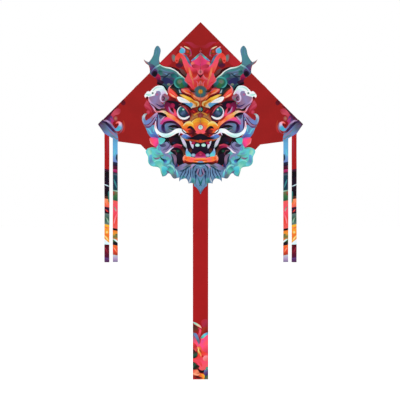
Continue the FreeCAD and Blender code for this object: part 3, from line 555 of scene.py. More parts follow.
def earArt(a):
    a.patch("white>white>ice", (332, -60), (336, -48), (320, -38), (312, -18), (298, -28), (282, -12),
        (264, 2), (244, 8), (220, 4), (208, -12), (194, -40), (204, -62), (280, -64), (306, -66))
    a.patch("mint>ice", (322, -44), (300, -40), (284, -48), (300, -56))
    a.line("mint>ice", (2, 8, 8, 2), (280, -26), (266, -10), (248, -2), (226, -6))
    a.line("mint>white", (2, 7, 7, 2), (220, -4), (210, -18), (202, -32), (192, -42))
    a.patch("ice>paleLilac>mauve", (246, -20), (226, -12), (210, -24), (198, -44), (200, -70), (222, -72),
        (240, -48))
    a.patch("mauve>lavender>mauve>violet", (302, -60), (282, -54), (262, -46), (258, -26), (238, -26),
        (232, -44), (238, -70), (226, -96), (206, -108), (222, -124), (252, -116), (280, -98), (298, -80))
    a.patch("mauve>lavender", (296, -64), (270, -56), (258, -70), (268, -90), (288, -84))
    a.dot("orchid>mauve>lavender", (254, -45), 13, 0.85)
    a.patch("mauve>plum", (232, -46), (208, -44), (192, -56), (188, -80), (196, -106), (206, -120),
        (222, -110), (214, -94), (224, -78))
    a.patch("dusty>mauve", (214, -40), (196, -46), (184, -60), (190, -72), (206, -62))
    a.line("paleLilac>paleLilac>lilac", (3, 8, 10, 9, 7, 3), (214, -34), (228, -46), (234, -62), (232, -78),
        (222, -88), (210, -86))
    a.line("plum", (2, 7, 7, 3), (226, -62), (216, -58), (212, -70), (222, -80))
    a.line("greyGreen", (2, 8, 10, 9, 2), (208, -62), (201, -72), (201, -86), (208, -96), (218, -98))
    a.line("blush>lilac>mauve>lilac>dusty", (2, 9, 10, 10, 9, 3), (304, -62), (299, -82), (278, -104),
        (252, -122), (228, -130), (206, -118))
    a.line("indigo", (2, 7, 8, 3), (262, -98), (242, -110), (226, -114), (212, -108))
    a.line("maroon>maroon>black>brown>plum", (3, 12, 16, 17, 14, 5), (304, -96), (288, -106), (266, -126),
        (244, -138), (216, -132), (190, -140))
    a.line("mauve>lilac>dusty", (2, 7, 8, 3), (198, -98), (196, -116), (200, -132), (210, -142))
    a.dot("greyGreen", (280, -37), 6.5)
    a.dot("maroon", (312, -64), 8)
    a.line("cream>blush", (2, 5, 2), (334, -50), (328, -60), (318, -64))


def furArt(a):
    a.patch("rose>crimson>sail", (328, -72), (312, -80), (296, -104), (284, -124), (272, -150), (288, -160),
        (304, -140), (322, -124), (334, -104), (338, -88))
    a.line("rose>crimson", (2, 9, 11, 7, 2), (334, -88), (320, -108), (304, -118), (290, -134), (286, -150))
    a.dot("rose>crimson", (306, -148), 11, 1.1)
    a.line("crimson>wine", (3, 12, 14, 6), (300, -104), (284, -126), (276, -146), (262, -156))
    a.line("mauve>lilac>blush>dusty", (2, 8, 9, 9, 3), (296, -98), (276, -120), (266, -138), (252, -150),
        (236, -150))
    a.line("wine", (2, 8, 8, 3), (336, -150), (330, -176), (336, -196), (332, -214))
    a.patch("sky>steel>blue>violet", (318, -240), (300, -240), (278, -222), (264, -228), (262, -262),
        (250, -284), (236, -300), (262, -302), (288, -296), (306, -276), (318, -256))
    a.line("aqua>sky", (2, 8, 8, 2), (308, -246), (296, -256), (290, -270), (276, -276))
    a.line("steel>aqua", (2, 10, 3), (288, -226), (276, -240), (274, -262))
    a.patch("blue>violet", (290, -278), (272, -276), (254, -288), (256, -300), (276, -302), (292, -292))
    a.patch("violet>plum>violet", (330, -232), (306, -224), (280, -204), (264, -176), (252, -156),
        (238, -164), (244, -190), (256, -210), (262, -206), (280, -222), (302, -240))
    a.line("mauve>lavender>lilac", (3, 10, 11, 8, 3), (324, -228), (300, -226), (282, -208), (268, -186),
        (252, -160))
    a.line("steel>periwinkle", (3, 14, 16, 10, 3), (264, -178), (252, -196), (244, -216), (248, -238),
        (256, -252))
    a.line("violet>indigo", (2, 8, 9, 3), (256, -158), (250, -176), (240, -190), (238, -206))
    a.line("indigo>night>plum>indigo", (3, 8, 9, 9, 3), (328, -224), (306, -216), (288, -202), (274, -182),
        (258, -158))
    a.line("greyGreen>mist>steel>periwinkle>periwinkle>mauve>lilac>lilac", (4, 12, 19, 24, 24, 17, 12, 5),
        (312, -158), (324, -162), (333, -176), (333, -196), (320, -210), (298, -198), (282, -180),
        (262, -160), (248, -152))
    a.line("mist>periwinkle", (2, 6, 7, 2), (330, -168), (338, -186), (334, -206), (322, -220))
    a.line("plum>cherry", (2, 7, 5, 2), (320, -170), (312, -184), (300, -184), (290, -172))
    a.line("mauve>greyGreen", (2, 6, 6, 2), (342, -196), (336, -216), (326, -232), (318, -246))
    a.patch("coral>pink>hotPink>magenta", (302, -304), (280, -298), (254, -300), (238, -314), (240, -334),
        (258, -352), (282, -340), (298, -322))
    a.line("orchid", (2, 8, 8, 2), (294, -296), (274, -300), (254, -304), (244, -316))
    a.line("blush>coral", (2, 7, 7, 2), (298, -306), (296, -320), (284, -334), (268, -344))


def eyeArt(a):
    a.patch("wine>black>plum", (206, -86), (188, -76), (164, -76), (140, -82), (118, -94), (94, -96),
        (70, -116), (48, -132), (38, -160), (50, -186), (84, -200), (126, -188), (150, -160), (178, -146),
        (202, -140), (210, -112))
    a.patch("black>night", (198, -84), (172, -82), (146, -86), (124, -98), (128, -114), (142, -130),
        (156, -116), (168, -94), (188, -96))
    a.patch("plum>berry", (204, -92), (186, -92), (172, -112), (178, -134), (196, -140), (206, -116))
    a.dot("crimson>berry", (163, -110), 13, 1.1)
    a.line("berry>magenta>pink>crimson", (3, 12, 14, 10, 3), (192, -120), (184, -140), (166, -154),
        (152, -166), (136, -184))
    a.line("lilac>mauve", (2, 7, 8, 3), (186, -116), (180, -134), (170, -148), (156, -158))
    a.line("crimson>pink>berry", (3, 12, 13, 10, 3), (160, -122), (152, -138), (147, -156), (138, -172),
        (124, -186))
    a.line("redDeep>rust", (2, 10, 11, 3), (146, -170), (132, -184), (112, -196), (90, -200))
    a.dot("white", (98, -151), 41, 1.0)
    a.line("paleLilac", (2, 5, 5, 2), (134, -134), (136, -152), (128, -170), (112, -184))
    a.dot("night>deepTeal>navy", (98, -146), 34, 1.0)
    a.patch("teal>deepTeal>storm>navy", (126, -130), (110, -120), (94, -128), (86, -146), (92, -164),
        (108, -166), (124, -150))
    a.line("deepTeal>navy", (2, 9, 8, 2), (100, -124), (88, -138), (80, -154), (84, -168))
    a.patch("storm>navy", (104, -150), (92, -148), (84, -158), (92, -168), (104, -164))
    a.dot("indigo>plum", (75, -165), 10, 0.8, -30)
    a.dot("ice>mint>teal", (101, -132), 8, 0.8)
    a.patch("dusty>maroon>wine", (128, -106), (108, -98), (82, -110), (60, -128), (48, -150), (54, -172),
        (66, -170), (74, -154), (84, -138), (98, -122), (114, -114))
    a.line("dusty>rose>dusty", (2, 7, 7, 2), (112, -108), (94, -120), (80, -136), (68, -156))
    a.line("redDeep>maroon", (2, 8, 8, 3), (92, -110), (72, -126), (60, -144), (58, -164))
    a.line("black>brown", (3, 8, 8, 3), (126, -108), (112, -106), (98, -102), (84, -104))
    a.line("night>plum", (2, 6, 7, 3), (58, -176), (66, -186), (84, -196), (104, -198))


def noseArt(a):
    a.patch("maroon>rust>tan>rust", (54, -128), (28, -118), (-6, -114), (-6, -190), (30, -190), (52, -200),
        (66, -206), (60, -180), (52, -160))
    a.patch("redDeep>wine", (60, -140), (44, -130), (26, -134), (16, -146), (30, -156), (50, -154))
    a.line("scarlet>redDeep>rust", (2, 9, 9, 3), (46, -138), (34, -148), (24, -156), (14, -164))
    a.line("tan>amber>tan", (2, 7, 8, 7, 2), (2, -146), (14, -152), (28, -158), (40, -168), (46, -184))
    a.line("brown>tan", (2, 7, 7, 2), (54, -152), (44, -166), (36, -176), (24, -180))
    a.dot("rose>dusty>rust", (0, -168), 17, 1.0)
    a.dot("maroon>black", (0, -131), 17)
    a.dot("mint>seafoam>seafoam", (0, -131), 11)
    a.patch("gold>amber>orange>coral>pink", (0, -184), (24, -186), (42, -196), (50, -214), (46, -238),
        (30, -258), (-6, -264), (-6, -186))
    a.line("butter>gold>gold", (4, 9, 11, 11), (52, -210), (42, -194), (22, -185), (-6, -187))
    a.line("gold>amber", (3, 8, 9), (44, -214), (28, -202), (-6, -203))
    a.line("amber>orange", (2, 9, 10, 8), (50, -224), (36, -220), (18, -212), (-6, -214))
    a.line("coral>orange", (2, 8, 9, 5), (42, -236), (32, -246), (16, -254), (-6, -254))
    a.dot("coral>rose", (0, -236), 19)
    a.dot("ice>mint>ice", (0, -236), 13)
    a.patch("butter>gold>orange>scarlet>rust", (70, -203), (88, -213), (101, -228), (105, -248), (92, -262),
        (70, -268), (50, -254), (42, -232), (50, -212))
    a.line("cream>butter>yellow", (3, 7, 10, 8, 3), (102, -228), (87, -212), (67, -205), (50, -212),
           (42, -224))
    a.patch("amber>scarlet", (90, -222), (76, -222), (68, -236), (78, -250), (92, -248), (98, -236))
    a.line("rust>orange", (2, 8, 9, 4), (100, -240), (92, -256), (76, -264), (56, -262))
    a.line("gold>amber", (2, 8, 9, 3), (66, -216), (50, -224), (42, -236), (34, -250))
    a.patch("rust>wine>black", (70, -254), (56, -246), (44, -252), (38, -268), (54, -278), (70, -268))
    a.dot("rust>maroon", (64, -256), 8, 0.7)
    a.line("black>night>maroon>brown", (8, 17, 15, 14, 12, 8), (74, -241), (62, -236), (50, -241),
        (40, -252), (31, -264), (20, -276))
    a.patch("pink>coral>redDeep", (20, -256), (-6, -254), (-6, -278), (14, -282), (30, -274))
    a.patch("maroon>rust", (34, -268), (14, -276), (-6, -278), (-6, -292), (30, -290), (52, -284))


def cheekArt(a):
    a.patch("plum>indigo>slate>plum", (246, -150), (214, -170), (190, -190), (150, -200), (118, -220),
        (104, -240), (110, -256), (140, -256), (170, -268), (204, -280), (236, -276), (254, -250),
        (258, -212), (252, -176))
    a.line("steel>lavender>periwinkle>slate", (6, 18, 22, 20, 8), (246, -166), (240, -196), (238, -226),
        (236, -250), (222, -268))
    a.patch("indigo>slate", (240, -160), (222, -160), (212, -174), (226, -190), (242, -180))
    a.patch("indigo>violet>slate", (222, -214), (204, -218), (196, -240), (206, -262), (226, -258),
        (232, -236))
    a.line("plum>night>indigo>indigo", (4, 12, 15, 14, 5), (204, -212), (216, -222), (218, -238),
        (216, -254), (204, -268))
    a.patch("steel>slate>lavender", (208, -220), (182, -212), (154, -216), (132, -228), (120, -244),
        (146, -254), (172, -262), (196, -262), (206, -244))
    a.line("lavender>slate", (2, 8, 9, 3), (194, -226), (168, -219), (144, -224), (126, -238))
    a.line("slate>lavender", (2, 8, 9, 3), (200, -258), (178, -254), (158, -258), (140, -262))
    a.line("black>black>night", (3, 13, 16, 15, 8, 3), (190, -236), (170, -230), (148, -231), (130, -238),
        (116, -246), (104, -246))
    a.dot("brown>black", (162, -237), 7, 0.6)
    a.line("pine>black", (3, 9, 9, 4), (184, -240), (170, -247), (152, -250), (134, -246))
    a.dot("greyGreen>slate", (182, -250), 9, 0.6, -20)
    a.patch("magenta>orchid>berry", (238, -218), (226, -198), (206, -180), (184, -174), (160, -186),
        (138, -200), (128, -214), (160, -206), (186, -200), (210, -206), (222, -218))
    a.line("orchid>pink>orchid>magenta", (3, 12, 14, 10, 3), (222, -196), (204, -186), (184, -184),
        (162, -192), (140, -204))
    a.line("blush>lilac>magenta", (3, 8, 8, 3), (206, -172), (222, -186), (233, -202), (228, -216))
    a.line("plum>night>plum>black", (3, 11, 13, 13, 13, 8, 3), (220, -214), (204, -208), (176, -204),
        (150, -210), (128, -226), (112, -240), (102, -252))
    a.line("redDeep>rust>maroon>maroon", (3, 11, 14, 12, 5), (146, -178), (126, -192), (108, -204),
        (90, -210), (72, -202))
    a.line("dusty>blush>cream>amber>salmon>orange>salmon>orange>amber", (5, 11, 20, 24, 25, 25, 24, 20, 14),
        (264, -140), (246, -148), (220, -148), (198, -160), (172, -174), (146, -188), (124, -204),
        (106, -224), (98, -244))
    a.line("peach>orange", (2, 7, 7, 2), (204, -156), (178, -166), (154, -176), (134, -190))
    a.line("scarlet>orange", (2, 6, 6, 2), (150, -180), (134, -190), (118, -204), (104, -220))
    a.line("tan>butter", (2, 6, 2), (214, -146), (200, -152), (192, -162))
    a.line("black", (3, 15, 17, 14, 3), (252, -152), (234, -156), (218, -162), (206, -168), (196, -176))


def moustacheArt(a):
    a.line("paleLilac>white>white>ice>ice>white>white>ice>white",
        (5, 10, 15, 20, 24, 23, 22, 25, 25, 20, 8), (262, -202), (264, -226), (260, -250), (244, -272),
        (218, -284), (192, -284), (166, -274), (144, -260), (122, -256), (100, -264), (78, -280))
    a.line("paleLilac>blush", (2, 6, 6, 2), (263, -206), (264, -226), (261, -246))
    a.line("mint>ice", (2, 8, 8, 2), (212, -290), (188, -288), (164, -276), (146, -264))
    a.line("paleLilac", (2, 7, 2), (112, -262), (122, -272), (126, -284))
    a.line("white>paleLilac>lilac", (3, 12, 8, 3), (118, -262), (98, -272), (80, -282), (60, -292))
    a.patch("periwinkle>blue>violet", (112, -286), (92, -277), (76, -286), (54, -294), (66, -306), (94, -301))
    a.line("steel>navy", (2, 5, 2), (98, -300), (78, -305), (58, -300))
    a.patch("cyan>seafoam>aqua", (244, -298), (216, -300), (206, -308), (216, -326), (238, -338), (246, -318))


def mouthArt(a):
    a.patch("black>black>night>black", (132, -262), (116, -278), (104, -292), (60, -302), (30, -284),
        (-6, -284), (-6, -420), (34, -416), (66, -412), (84, -394), (92, -372), (96, -350), (118, -336),
        (160, -344), (206, -336), (226, -326), (212, -304), (188, -298), (160, -288), (144, -274))
    a.patch("maroon>night>black", (184, -304), (150, -296), (128, -300), (116, -320), (132, -334),
            (168, -332))
    a.dot("navy>black", (156, -328), 15, 0.55)
    a.line("pine>black", (2, 8, 8, 2), (118, -300), (108, -318), (100, -338), (90, -352))
    a.line("tan>rust>rust>orange", (3, 10, 11, 12), (104, -300), (78, -310), (42, -314), (-6, -322))
    a.dot("scarlet>rust", (0, -318), 14, 0.7)
    a.line("dusty>mist>paleLilac>mist>greyGreen", (4, 12, 17, 18, 15, 4), (120, -284), (108, -304),
        (98, -322), (90, -340), (80, -358))
    a.line("mist>paleLilac>mist", (5, 16, 14, 4), (62, -318), (52, -334), (47, -348), (45, -360))
    a.dot("crimson>berry", (42, -328), 12, 0.7, -20)
    a.dot("ice>mint", (18, -341), 13, 0.7)
    a.patch("maroon>brown", (66, -360), (54, -362), (50, -376), (60, -384), (68, -372))
    a.line("paleLilac>sky>aqua>seafoam", (3, 16, 26, 26, 10), (80, -360), (79, -378), (74, -392),
        (66, -404), (58, -412))
    a.dot("mist>steel", (42, -400), 13, 0.8)
    a.patch("crimson>berry>magenta", (0, -376), (16, -386), (28, -396), (30, -414), (-6, -418), (-6, -380))
    a.dot("rose>berry", (0, -396), 10, 0.8)
    a.line("magenta>orchid", (3, 8, 8), (36, -408), (20, -412), (-6, -412))
    a.line("salmon>orange>coral>orange>amber>orange", (22, 30, 28, 26, 26), (90, -416), (70, -422),
        (48, -426), (24, -428), (-6, -428))
    a.dot("scarlet>orange", (84, -418), 11, 0.9)
    a.line("peach>blush>salmon", (2, 6, 6, 3), (84, -400), (99, -404), (104, -420), (94, -434))
    a.line("pink>coral", (2, 8, 8, 3), (60, -414), (50, -422), (34, -422), (20, -418))
    a.line("salmon", (2, 5, 5), (60, -414), (28, -417), (-6, -417))
    a.line("rust>scarlet", (2, 7, 9), (40, -432), (18, -430), (-6, -430))
    a.line("salmon>blush", (2, 8, 10), (28, -436), (12, -440), (-6, -440))


def cloudArt(a):
    a.patch("aqua>seafoam>steel>slate", (330, -380), (310, -362), (288, -354), (262, -356), (246, -340),
        (228, -336), (200, -346), (180, -372), (160, -390), (146, -430), (140, -470), (118, -540),
        (124, -566), (150, -545), (184, -520), (232, -540), (252, -480), (290, -476), (318, -440))
    a.patch("steel>lavender>slate>plum", (246, -330), (232, -338), (214, -328), (196, -322), (178, -340),
        (160, -352), (176, -374), (190, -394), (176, -410), (160, -430), (148, -460), (134, -440),
        (134, -396), (170, -400), (214, -392), (238, -368))
    a.patch("indigo>slate", (240, -338), (224, -336), (206, -330), (196, -342), (214, -352), (230, -350))
    a.line("lavender>slate", (3, 12, 12, 4), (206, -326), (196, -346), (204, -362), (222, -372))
    a.line("slate>violet", (2, 8, 8, 2), (186, -318), (180, -340), (190, -358), (206, -372))
    a.line("steel>aqua", (3, 14, 14, 4), (250, -336), (242, -352), (240, -372), (226, -386))
    a.dot("sky>steel", (240, -363), 9, 1.1)
    a.patch("aqua>mint>seafoam", (318, -384), (300, -366), (286, -370), (284, -392), (296, -408), (312, -400))
    a.line("mint>seafoam>greyGreen", (3, 9, 9, 3), (306, -362), (286, -358), (266, -360), (254, -358))
    a.patch("sky>steel>aqua", (300, -404), (284, -398), (282, -426), (272, -440), (264, -456), (280, -462),
        (298, -446))
    a.line("aqua>steel", (3, 12, 13, 5), (280, -372), (262, -376), (252, -390), (236, -392))
    a.line("seafoam>greyGreen", (3, 11, 12, 4), (274, -392), (254, -402), (232, -404), (212, -398))
    a.line("slate>mauve", (3, 10, 11, 4), (276, -414), (262, -420), (248, -418), (236, -412))
    a.line("steel>lavender", (3, 14, 15, 5), (222, -388), (204, -398), (184, -404), (172, -420))
    a.line("teal>deepTeal>navy>blue", (3, 9, 12, 22, 16), (238, -404), (228, -420), (216, -428),
        (207, -434), (203, -440))
    a.dot("sky>steel", (211, -412), 11, 0.7)
    a.line("mint>aqua>seafoam", (3, 7, 9, 8, 3), (272, -438), (256, -430), (238, -430), (224, -440),
        (220, -456))
    a.patch("seafoam>mint>teal", (262, -450), (246, -438), (230, -442), (220, -460), (208, -470),
        (216, -520), (230, -528), (234, -490), (246, -466))
    a.patch("aqua>cyan>seafoam", (228, -468), (206, -466), (192, -480), (200, -508), (216, -520), (224, -500))
    a.line("steel>aqua>steel", (3, 12, 12, 4), (214, -448), (196, -446), (184, -432), (182, -414))
    a.line("greyGreen>teal", (3, 9, 9, 3), (162, -414), (168, -430), (176, -444), (174, -458))
    a.line("aqua>mint>aqua", (3, 8, 10, 8, 3), (196, -464), (182, -458), (168, -464), (156, -478),
           (152, -496))
    a.patch("teal>seafoam>greyGreen", (182, -468), (168, -474), (158, -494), (156, -516), (170, -516),
        (184, -500), (194, -486))
    a.line("slate>lavender", (3, 12, 10, 3), (200, -490), (188, -500), (176, -516), (158, -526))
    a.patch("greyGreen>slate", (164, -510), (150, -512), (138, -522), (146, -540), (162, -534))
    a.line("slate>lilac>mauve", (3, 8, 9, 4), (164, -396), (150, -420), (152, -446), (146, -468))
    a.line("navy>indigo", (3, 11, 13, 5), (150, -438), (138, -452), (142, -472), (138, -488))


def hairArt(a):
    a.patch("night>black>black>navy", (170, -350), (140, -338), (110, -340), (90, -356), (86, -376),
        (98, -396), (104, -424), (96, -446), (70, -452), (60, -470), (100, -470), (130, -456), (146, -430),
        (150, -400), (176, -376))
    a.line("crimson>berry>maroon>brown>brown", (4, 16, 18, 15, 12, 4), (160, -354), (138, -346),
        (116, -354), (102, -370), (96, -388), (102, -408))
    a.line("mauve>crimson>rose", (3, 9, 10, 4), (178, -366), (158, -346), (134, -338), (108, -346))
    a.line("brownRose>plum", (2, 8, 8, 3), (166, -372), (148, -374), (140, -390), (146, -404))
    a.dot("pine>black", (133, -376), 12, 0.8)
    a.line("paleLilac>white>paleLilac>lilac", (5, 9, 8, 4), (206, -387), (190, -381), (174, -364),
           (156, -352))
    a.patch("night>black", (136, -392), (116, -394), (106, -412), (108, -440), (124, -452), (140, -426))
    a.patch("slate>mauve>indigo", (176, -392), (156, -394), (142, -408), (140, -440), (148, -466),
        (158, -440), (164, -414))
    a.line("navy>deepTeal", (3, 9, 10, 4), (170, -400), (162, -420), (160, -440), (152, -458))
    a.patch("storm>dusk>steel>dusk>storm", (148, -476), (132, -470), (108, -464), (84, -452), (56, -446),
        (30, -446), (-6, -450), (-6, -660), (20, -640), (50, -600), (72, -570), (90, -545), (124, -556),
        (142, -520))
    a.patch("slate>lavender>greyGreen", (142, -476), (118, -458), (92, -448), (64, -448), (54, -460),
        (70, -470), (94, -478), (118, -488))
    a.line("greyGreen>slate>olive", (3, 9, 9, 3), (104, -474), (84, -466), (68, -456), (46, -450))
    a.line("navy>deepTeal>navy", (3, 10, 11, 8, 3), (122, -492), (104, -492), (88, -482), (72, -470),
        (54, -464))
    a.line("brown>maroon>black", (3, 12, 10, 8), (96, -440), (72, -448), (50, -446), (28, -446))
    a.line("black>deepTeal", (8, 10, 12), (48, -444), (24, -449), (-6, -451))
    a.line("dusk>storm", (3, 14, 16, 5), (126, -500), (108, -506), (92, -502), (74, -492))
    a.line("mist>aqua>steel>deepTeal", (4, 9, 10, 9, 3), (146, -480), (138, -500), (132, -524), (126, -542),
        (122, -558))
    a.line("seafoam>teal>dusk", (3, 14, 16, 6), (122, -524), (104, -530), (86, -528), (68, -520))
    a.line("storm>steel>slate", (3, 14, 16, 12, 4), (66, -486), (72, -504), (78, -524), (76, -548),
        (70, -566))
    a.line("lavender>lilac>mauve", (3, 10, 10, 4), (28, -456), (44, -458), (54, -470), (62, -482))
    a.line("deepTeal>slate", (3, 9, 10, 4), (26, -458), (38, -468), (46, -484), (50, -500))
    a.line("dusk>storm>steel", (3, 14, 17, 14, 4), (44, -476), (52, -500), (54, -524), (48, -548),
        (36, -566))


def beardArt(a):
    a.dot("mint>dusk>storm", (0, -462), 22, 0.6)
    a.line("lavender>mauve>slate", (3, 12, 14, 10, 3), (8, -476), (16, -492), (14, -508), (6, -520),
           (-6, -526))
    a.line("storm>dusk>storm", (3, 14, 18, 14, 4), (22, -464), (32, -484), (40, -506), (44, -530),
        (40, -556))
    a.line("navy>deepTeal>blue", (3, 10, 14, 10, 3), (34, -488), (30, -506), (29, -524), (33, -538),
           (42, -548))
    a.line("slate>navy>steel", (3, 8, 9, 3), (12, -474), (22, -486), (28, -502), (26, -516))
    a.patch("seafoam>teal>greyGreen", (50, -534), (40, -532), (28, -544), (30, -566), (42, -572), (54, -556))
    a.line("storm>dusk>steel>dusk", (3, 14, 20, 16, 6), (18, -522), (20, -548), (14, -574), (4, -596),
        (-6, -612))
    a.line("storm>steel>slate", (3, 12, 15, 12, 4), (30, -566), (20, -586), (10, -602), (2, -620))
    a.line("teal>deepTeal", (3, 8, 9, 3), (16, -530), (8, -548), (2, -566), (-6, -580))
    a.line("dusk>mist", (3, 8, 8, 2), (64, -510), (60, -530), (62, -548), (68, -562))
    a.line("indigo>navy", (2, 6, 7, 2), (4, -478), (8, -494), (12, -508), (16, -518))


def strandArt(a):
    # dark and light strands of hair that fan out from under the lip
    for k, (out, z) in enumerate([(22, -474), (38, -470), (54, -472), (70, -476), (86, -480), (102, -488)]):
        lean, drop = 0.12 + 0.2 * k / 5, 96 - 6 * k
        for shift, ink in ((0, "night>navy>storm"), (8, "storm>dusk>steel")):
            a.line(ink, (1.5, 5, 4, 1.5), *(
                (out + shift + lean * drop * t + 5 * math.sin(5 * t + k), z - drop * t)
                for t in (0, 0.35, 0.7, 1)))


def outlineArt(a):
    a.line("black>night", (2, 6, 7, 3), (118, -94), (92, -102), (66, -118), (50, -134))
    a.line("black>maroon", (2, 6, 6, 3), (124, -112), (98, -104), (72, -118), (54, -142))
    a.line("wine>black>maroon", (2, 6, 7, 6, 2), (110, -238), (104, -258), (84, -273), (60, -276), (44, -270))
    a.line("black>night", (3, 10, 12, 12), (84, -298), (58, -300), (30, -294), (-6, -291))
    a.line("black>night", (2, 6, 8, 6, 2), (250, -276), (222, -296), (190, -300), (160, -290), (138, -274))
    a.line("maroon>black", (2, 6, 6, 6), (96, -440), (66, -446), (36, -444), (-6, -448))
    a.line("black>maroon", (2, 5, 6, 5, 2), (136, -44), (112, -38), (84, -46), (58, -58), (40, -72))
    a.line("wine>rust", (2, 5, 5, 2), (56, -206), (46, -194), (28, -182), (10, -180))


def wingTipArt(a):
    a.line("maroon>plum>maroon>wine", (3, 20, 26, 22, 12, 3), (584, -206), (560, -186), (538, -166),
        (518, -146), (496, -126), (476, -108))
    a.patch("crimson>rose>sail", (530, -176), (516, -150), (496, -128), (476, -122), (466, -140),
        (478, -160), (500, -166), (514, -184))
    a.line("rose>crimson", (3, 12, 14, 5), (512, -160), (496, -148), (484, -136), (470, -134))
    a.patch("maroon>wine", (470, -78), (450, -76), (438, -94), (448, -108), (464, -100))
    a.patch("plum>violet>magenta>berry", (552, -196), (536, -172), (522, -168), (512, -186), (504, -206),
        (508, -228), (524, -232), (542, -218))
    a.line("magenta>crimson", (3, 10, 12, 5), (528, -180), (518, -198), (512, -216), (502, -230))
    a.dot("tan>dusty>sail", (497, -185), 15, 1.2)
    a.patch("redDeep>maroon", (512, -206), (496, -202), (484, -212), (484, -228), (498, -236), (510, -226))
    a.line("mauve>lilac>slate>lavender>periwinkle", (5, 14, 16, 15, 6), (566, -196), (546, -206),
        (526, -222), (510, -242), (494, -254))
    a.line("lilac>mauve", (2, 5, 6, 2), (556, -192), (538, -202), (522, -218), (508, -232))
    a.line("periwinkle>sky>cyan>sky>paleLilac>blush>coral>rust", (4, 18, 24, 24, 20, 12, 9, 5), (506, -246),
        (492, -250), (480, -246), (471, -234), (468, -220), (477, -208), (490, -210), (500, -222))
    a.dot("maroon>redDeep", (496, -226), 10, 1.1)
    a.patch("plum>slate>periwinkle>steel>sky", (604, -220), (584, -202), (568, -200), (548, -216),
        (528, -238), (506, -262), (486, -282), (484, -326), (512, -326), (526, -300), (566, -276),
        (580, -252))
    a.line("violet>slate>steel>periwinkle", (3, 18, 20, 16, 6), (588, -218), (566, -238), (548, -252),
        (528, -272), (518, -296))
    a.line("indigo>night>indigo>plum>mauve", (4, 13, 15, 15, 12, 4), (580, -204), (556, -208), (536, -226),
        (516, -248), (500, -264), (482, -274))
    a.line("slate>mauve>lavender", (3, 10, 12, 5), (544, -244), (524, -264), (508, -278), (492, -288))
    a.line("steel>greyGreen>mauve", (3, 12, 14, 6), (536, -272), (516, -290), (500, -302), (484, -304))
    a.line("periwinkle>sky>steel", (4, 14, 16, 8), (518, -292), (508, -304), (500, -314), (498, -326))
    a.line("dusty>mauve>sail", (3, 9, 9, 3), (462, -206), (456, -232), (464, -258), (478, -276))
    a.line("rust>cherry", (3, 10, 10, 3), (452, -196), (446, -224), (448, -252), (458, -270))


def sailArt(a):
    wingTipArt(a)
    a.patch("cherry>sail", (250, 118), (216, 160), (150, 220), (100, 262), (120, 200), (180, 130))
    a.line("crimson>sail", (4, 26, 20, 4), (90, 262), (60, 250), (30, 236), (-8, 240))
    a.line("cherry>redDeep>sail", (3, 14, 16, 5), (110, 262), (84, 250), (66, 236), (44, 226))


def maskArt(a):
    a.line("blush>pink>crimson", (14, 12, 8, 3), (-8, 218), (4, 214), (16, 222), (28, 238))
    a.patch("redDeep>olive>sail", (60, 226), (44, 222), (34, 206), (36, 184), (54, 170), (62, 190))
    for part in (hornArt, crestArt, earArt, furArt, browArt, cheekArt, eyeArt, noseArt, mouthArt,
                 moustacheArt, cloudArt, hairArt, strandArt, outlineArt):
        part(a)


def bandsArt(a, centre, left, right, top, bands):
    # slanting bands from the top down, each with its inks and the height where it ends
    for inkWords, foot in bands:
        ring = [(centre - 18, top - left), (centre + 18, top + right), (centre + 18, foot + right),
                (centre - 18, foot - left)]
        a.flat(ring, inkWords, (centre, top), (centre, foot))
        top = foot


def outerRibbonArt(a):
    bandsArt(a, 548, 3, 4, -482, [
        ("plum>black", -500), ("black>night>black", -640), ("brown>maroon", -656),
        ("salmon>orange>coral", -704), ("night>plum>black", -742), ("greyGreen>pine>greyGreen", -806),
        ("gold>orange>amber", -922), ("maroon>wine>plum", -1000), ("violet>plum", -1030)])
    a.line("mist>ice>slate", (5, 6, 5), (568, -568), (548, -577), (528, -584))
    a.flat([(528, -918), (566, -886), (566, -922), (528, -923)], "white>ice", (548, -890), (548, -922))
    a.patch("teal>green", (533, -612), (541, -618), (540, -668), (533, -676))
    a.line("salmon>coral", (4, 10, 4), (560, -664), (548, -684), (538, -700))
    a.line("scarlet", (2, 7, 2), (556, -716), (548, -726), (540, -732))
    a.line("olive>mint", (2, 8, 3), (558, -760), (546, -776), (540, -796))
    a.dot("rust>yellow>orange", (548, -850), 11)
    a.dot("cream", (548, -850), 4)
    a.line("yellow>butter>gold", (3, 9, 4), (564, -868), (550, -884), (536, -904))
    a.line("scarlet>coral", (2, 6, 2), (562, -816), (548, -826), (536, -824))
    a.line("crimson>maroon", (3, 8, 3), (558, -940), (548, -962), (538, -980))
    a.line("crimson>sail", (3, 9, 4), (541, -300), (545, -360), (541, -430))


def innerRibbonArt(a):
    bandsArt(a, 499, 4, 3, -280, [
        ("steel>sky>sky>periwinkle", -440), ("navy>night", -462), ("plum>maroon", -482),
        ("magenta>berry", -500), ("night>slate", -516), ("deepTeal>navy>deepTeal", -604),
        ("greyGreen>mint", -610), ("olive>green>pine", -666), ("coral>pink>scarlet>coral", -828),
        ("black", -840), ("orange>amber>green>orange", -896), ("green>black>night", -926),
        ("orange>scarlet>rust", -984), ("mist>lilac>slate", -1032)])
    a.patch("deepTeal>navy", (484, -398), (492, -396), (496, -420), (484, -436))
    a.line("sky>aqua", (3, 10, 4), (508, -352), (502, -376), (508, -402))
    a.line("teal>hornTeal", (3, 9, 3), (508, -540), (500, -562), (490, -590))
    a.patch("rust>brown", (513, -614), (505, -616), (505, -634), (513, -636))
    a.line("green>mint", (2, 7, 2), (508, -700), (500, -712), (494, -728))
    a.line("pink>blush", (3, 9, 3), (488, -740), (498, -764), (506, -800))
    a.dot("green>olive", (492, -866), 7)
    a.line("mint>ice>white", (3, 9, 8), (512, -890), (500, -896), (484, -908))
    a.line("peach>orange", (2, 7, 2), (508, -940), (498, -954), (490, -970))


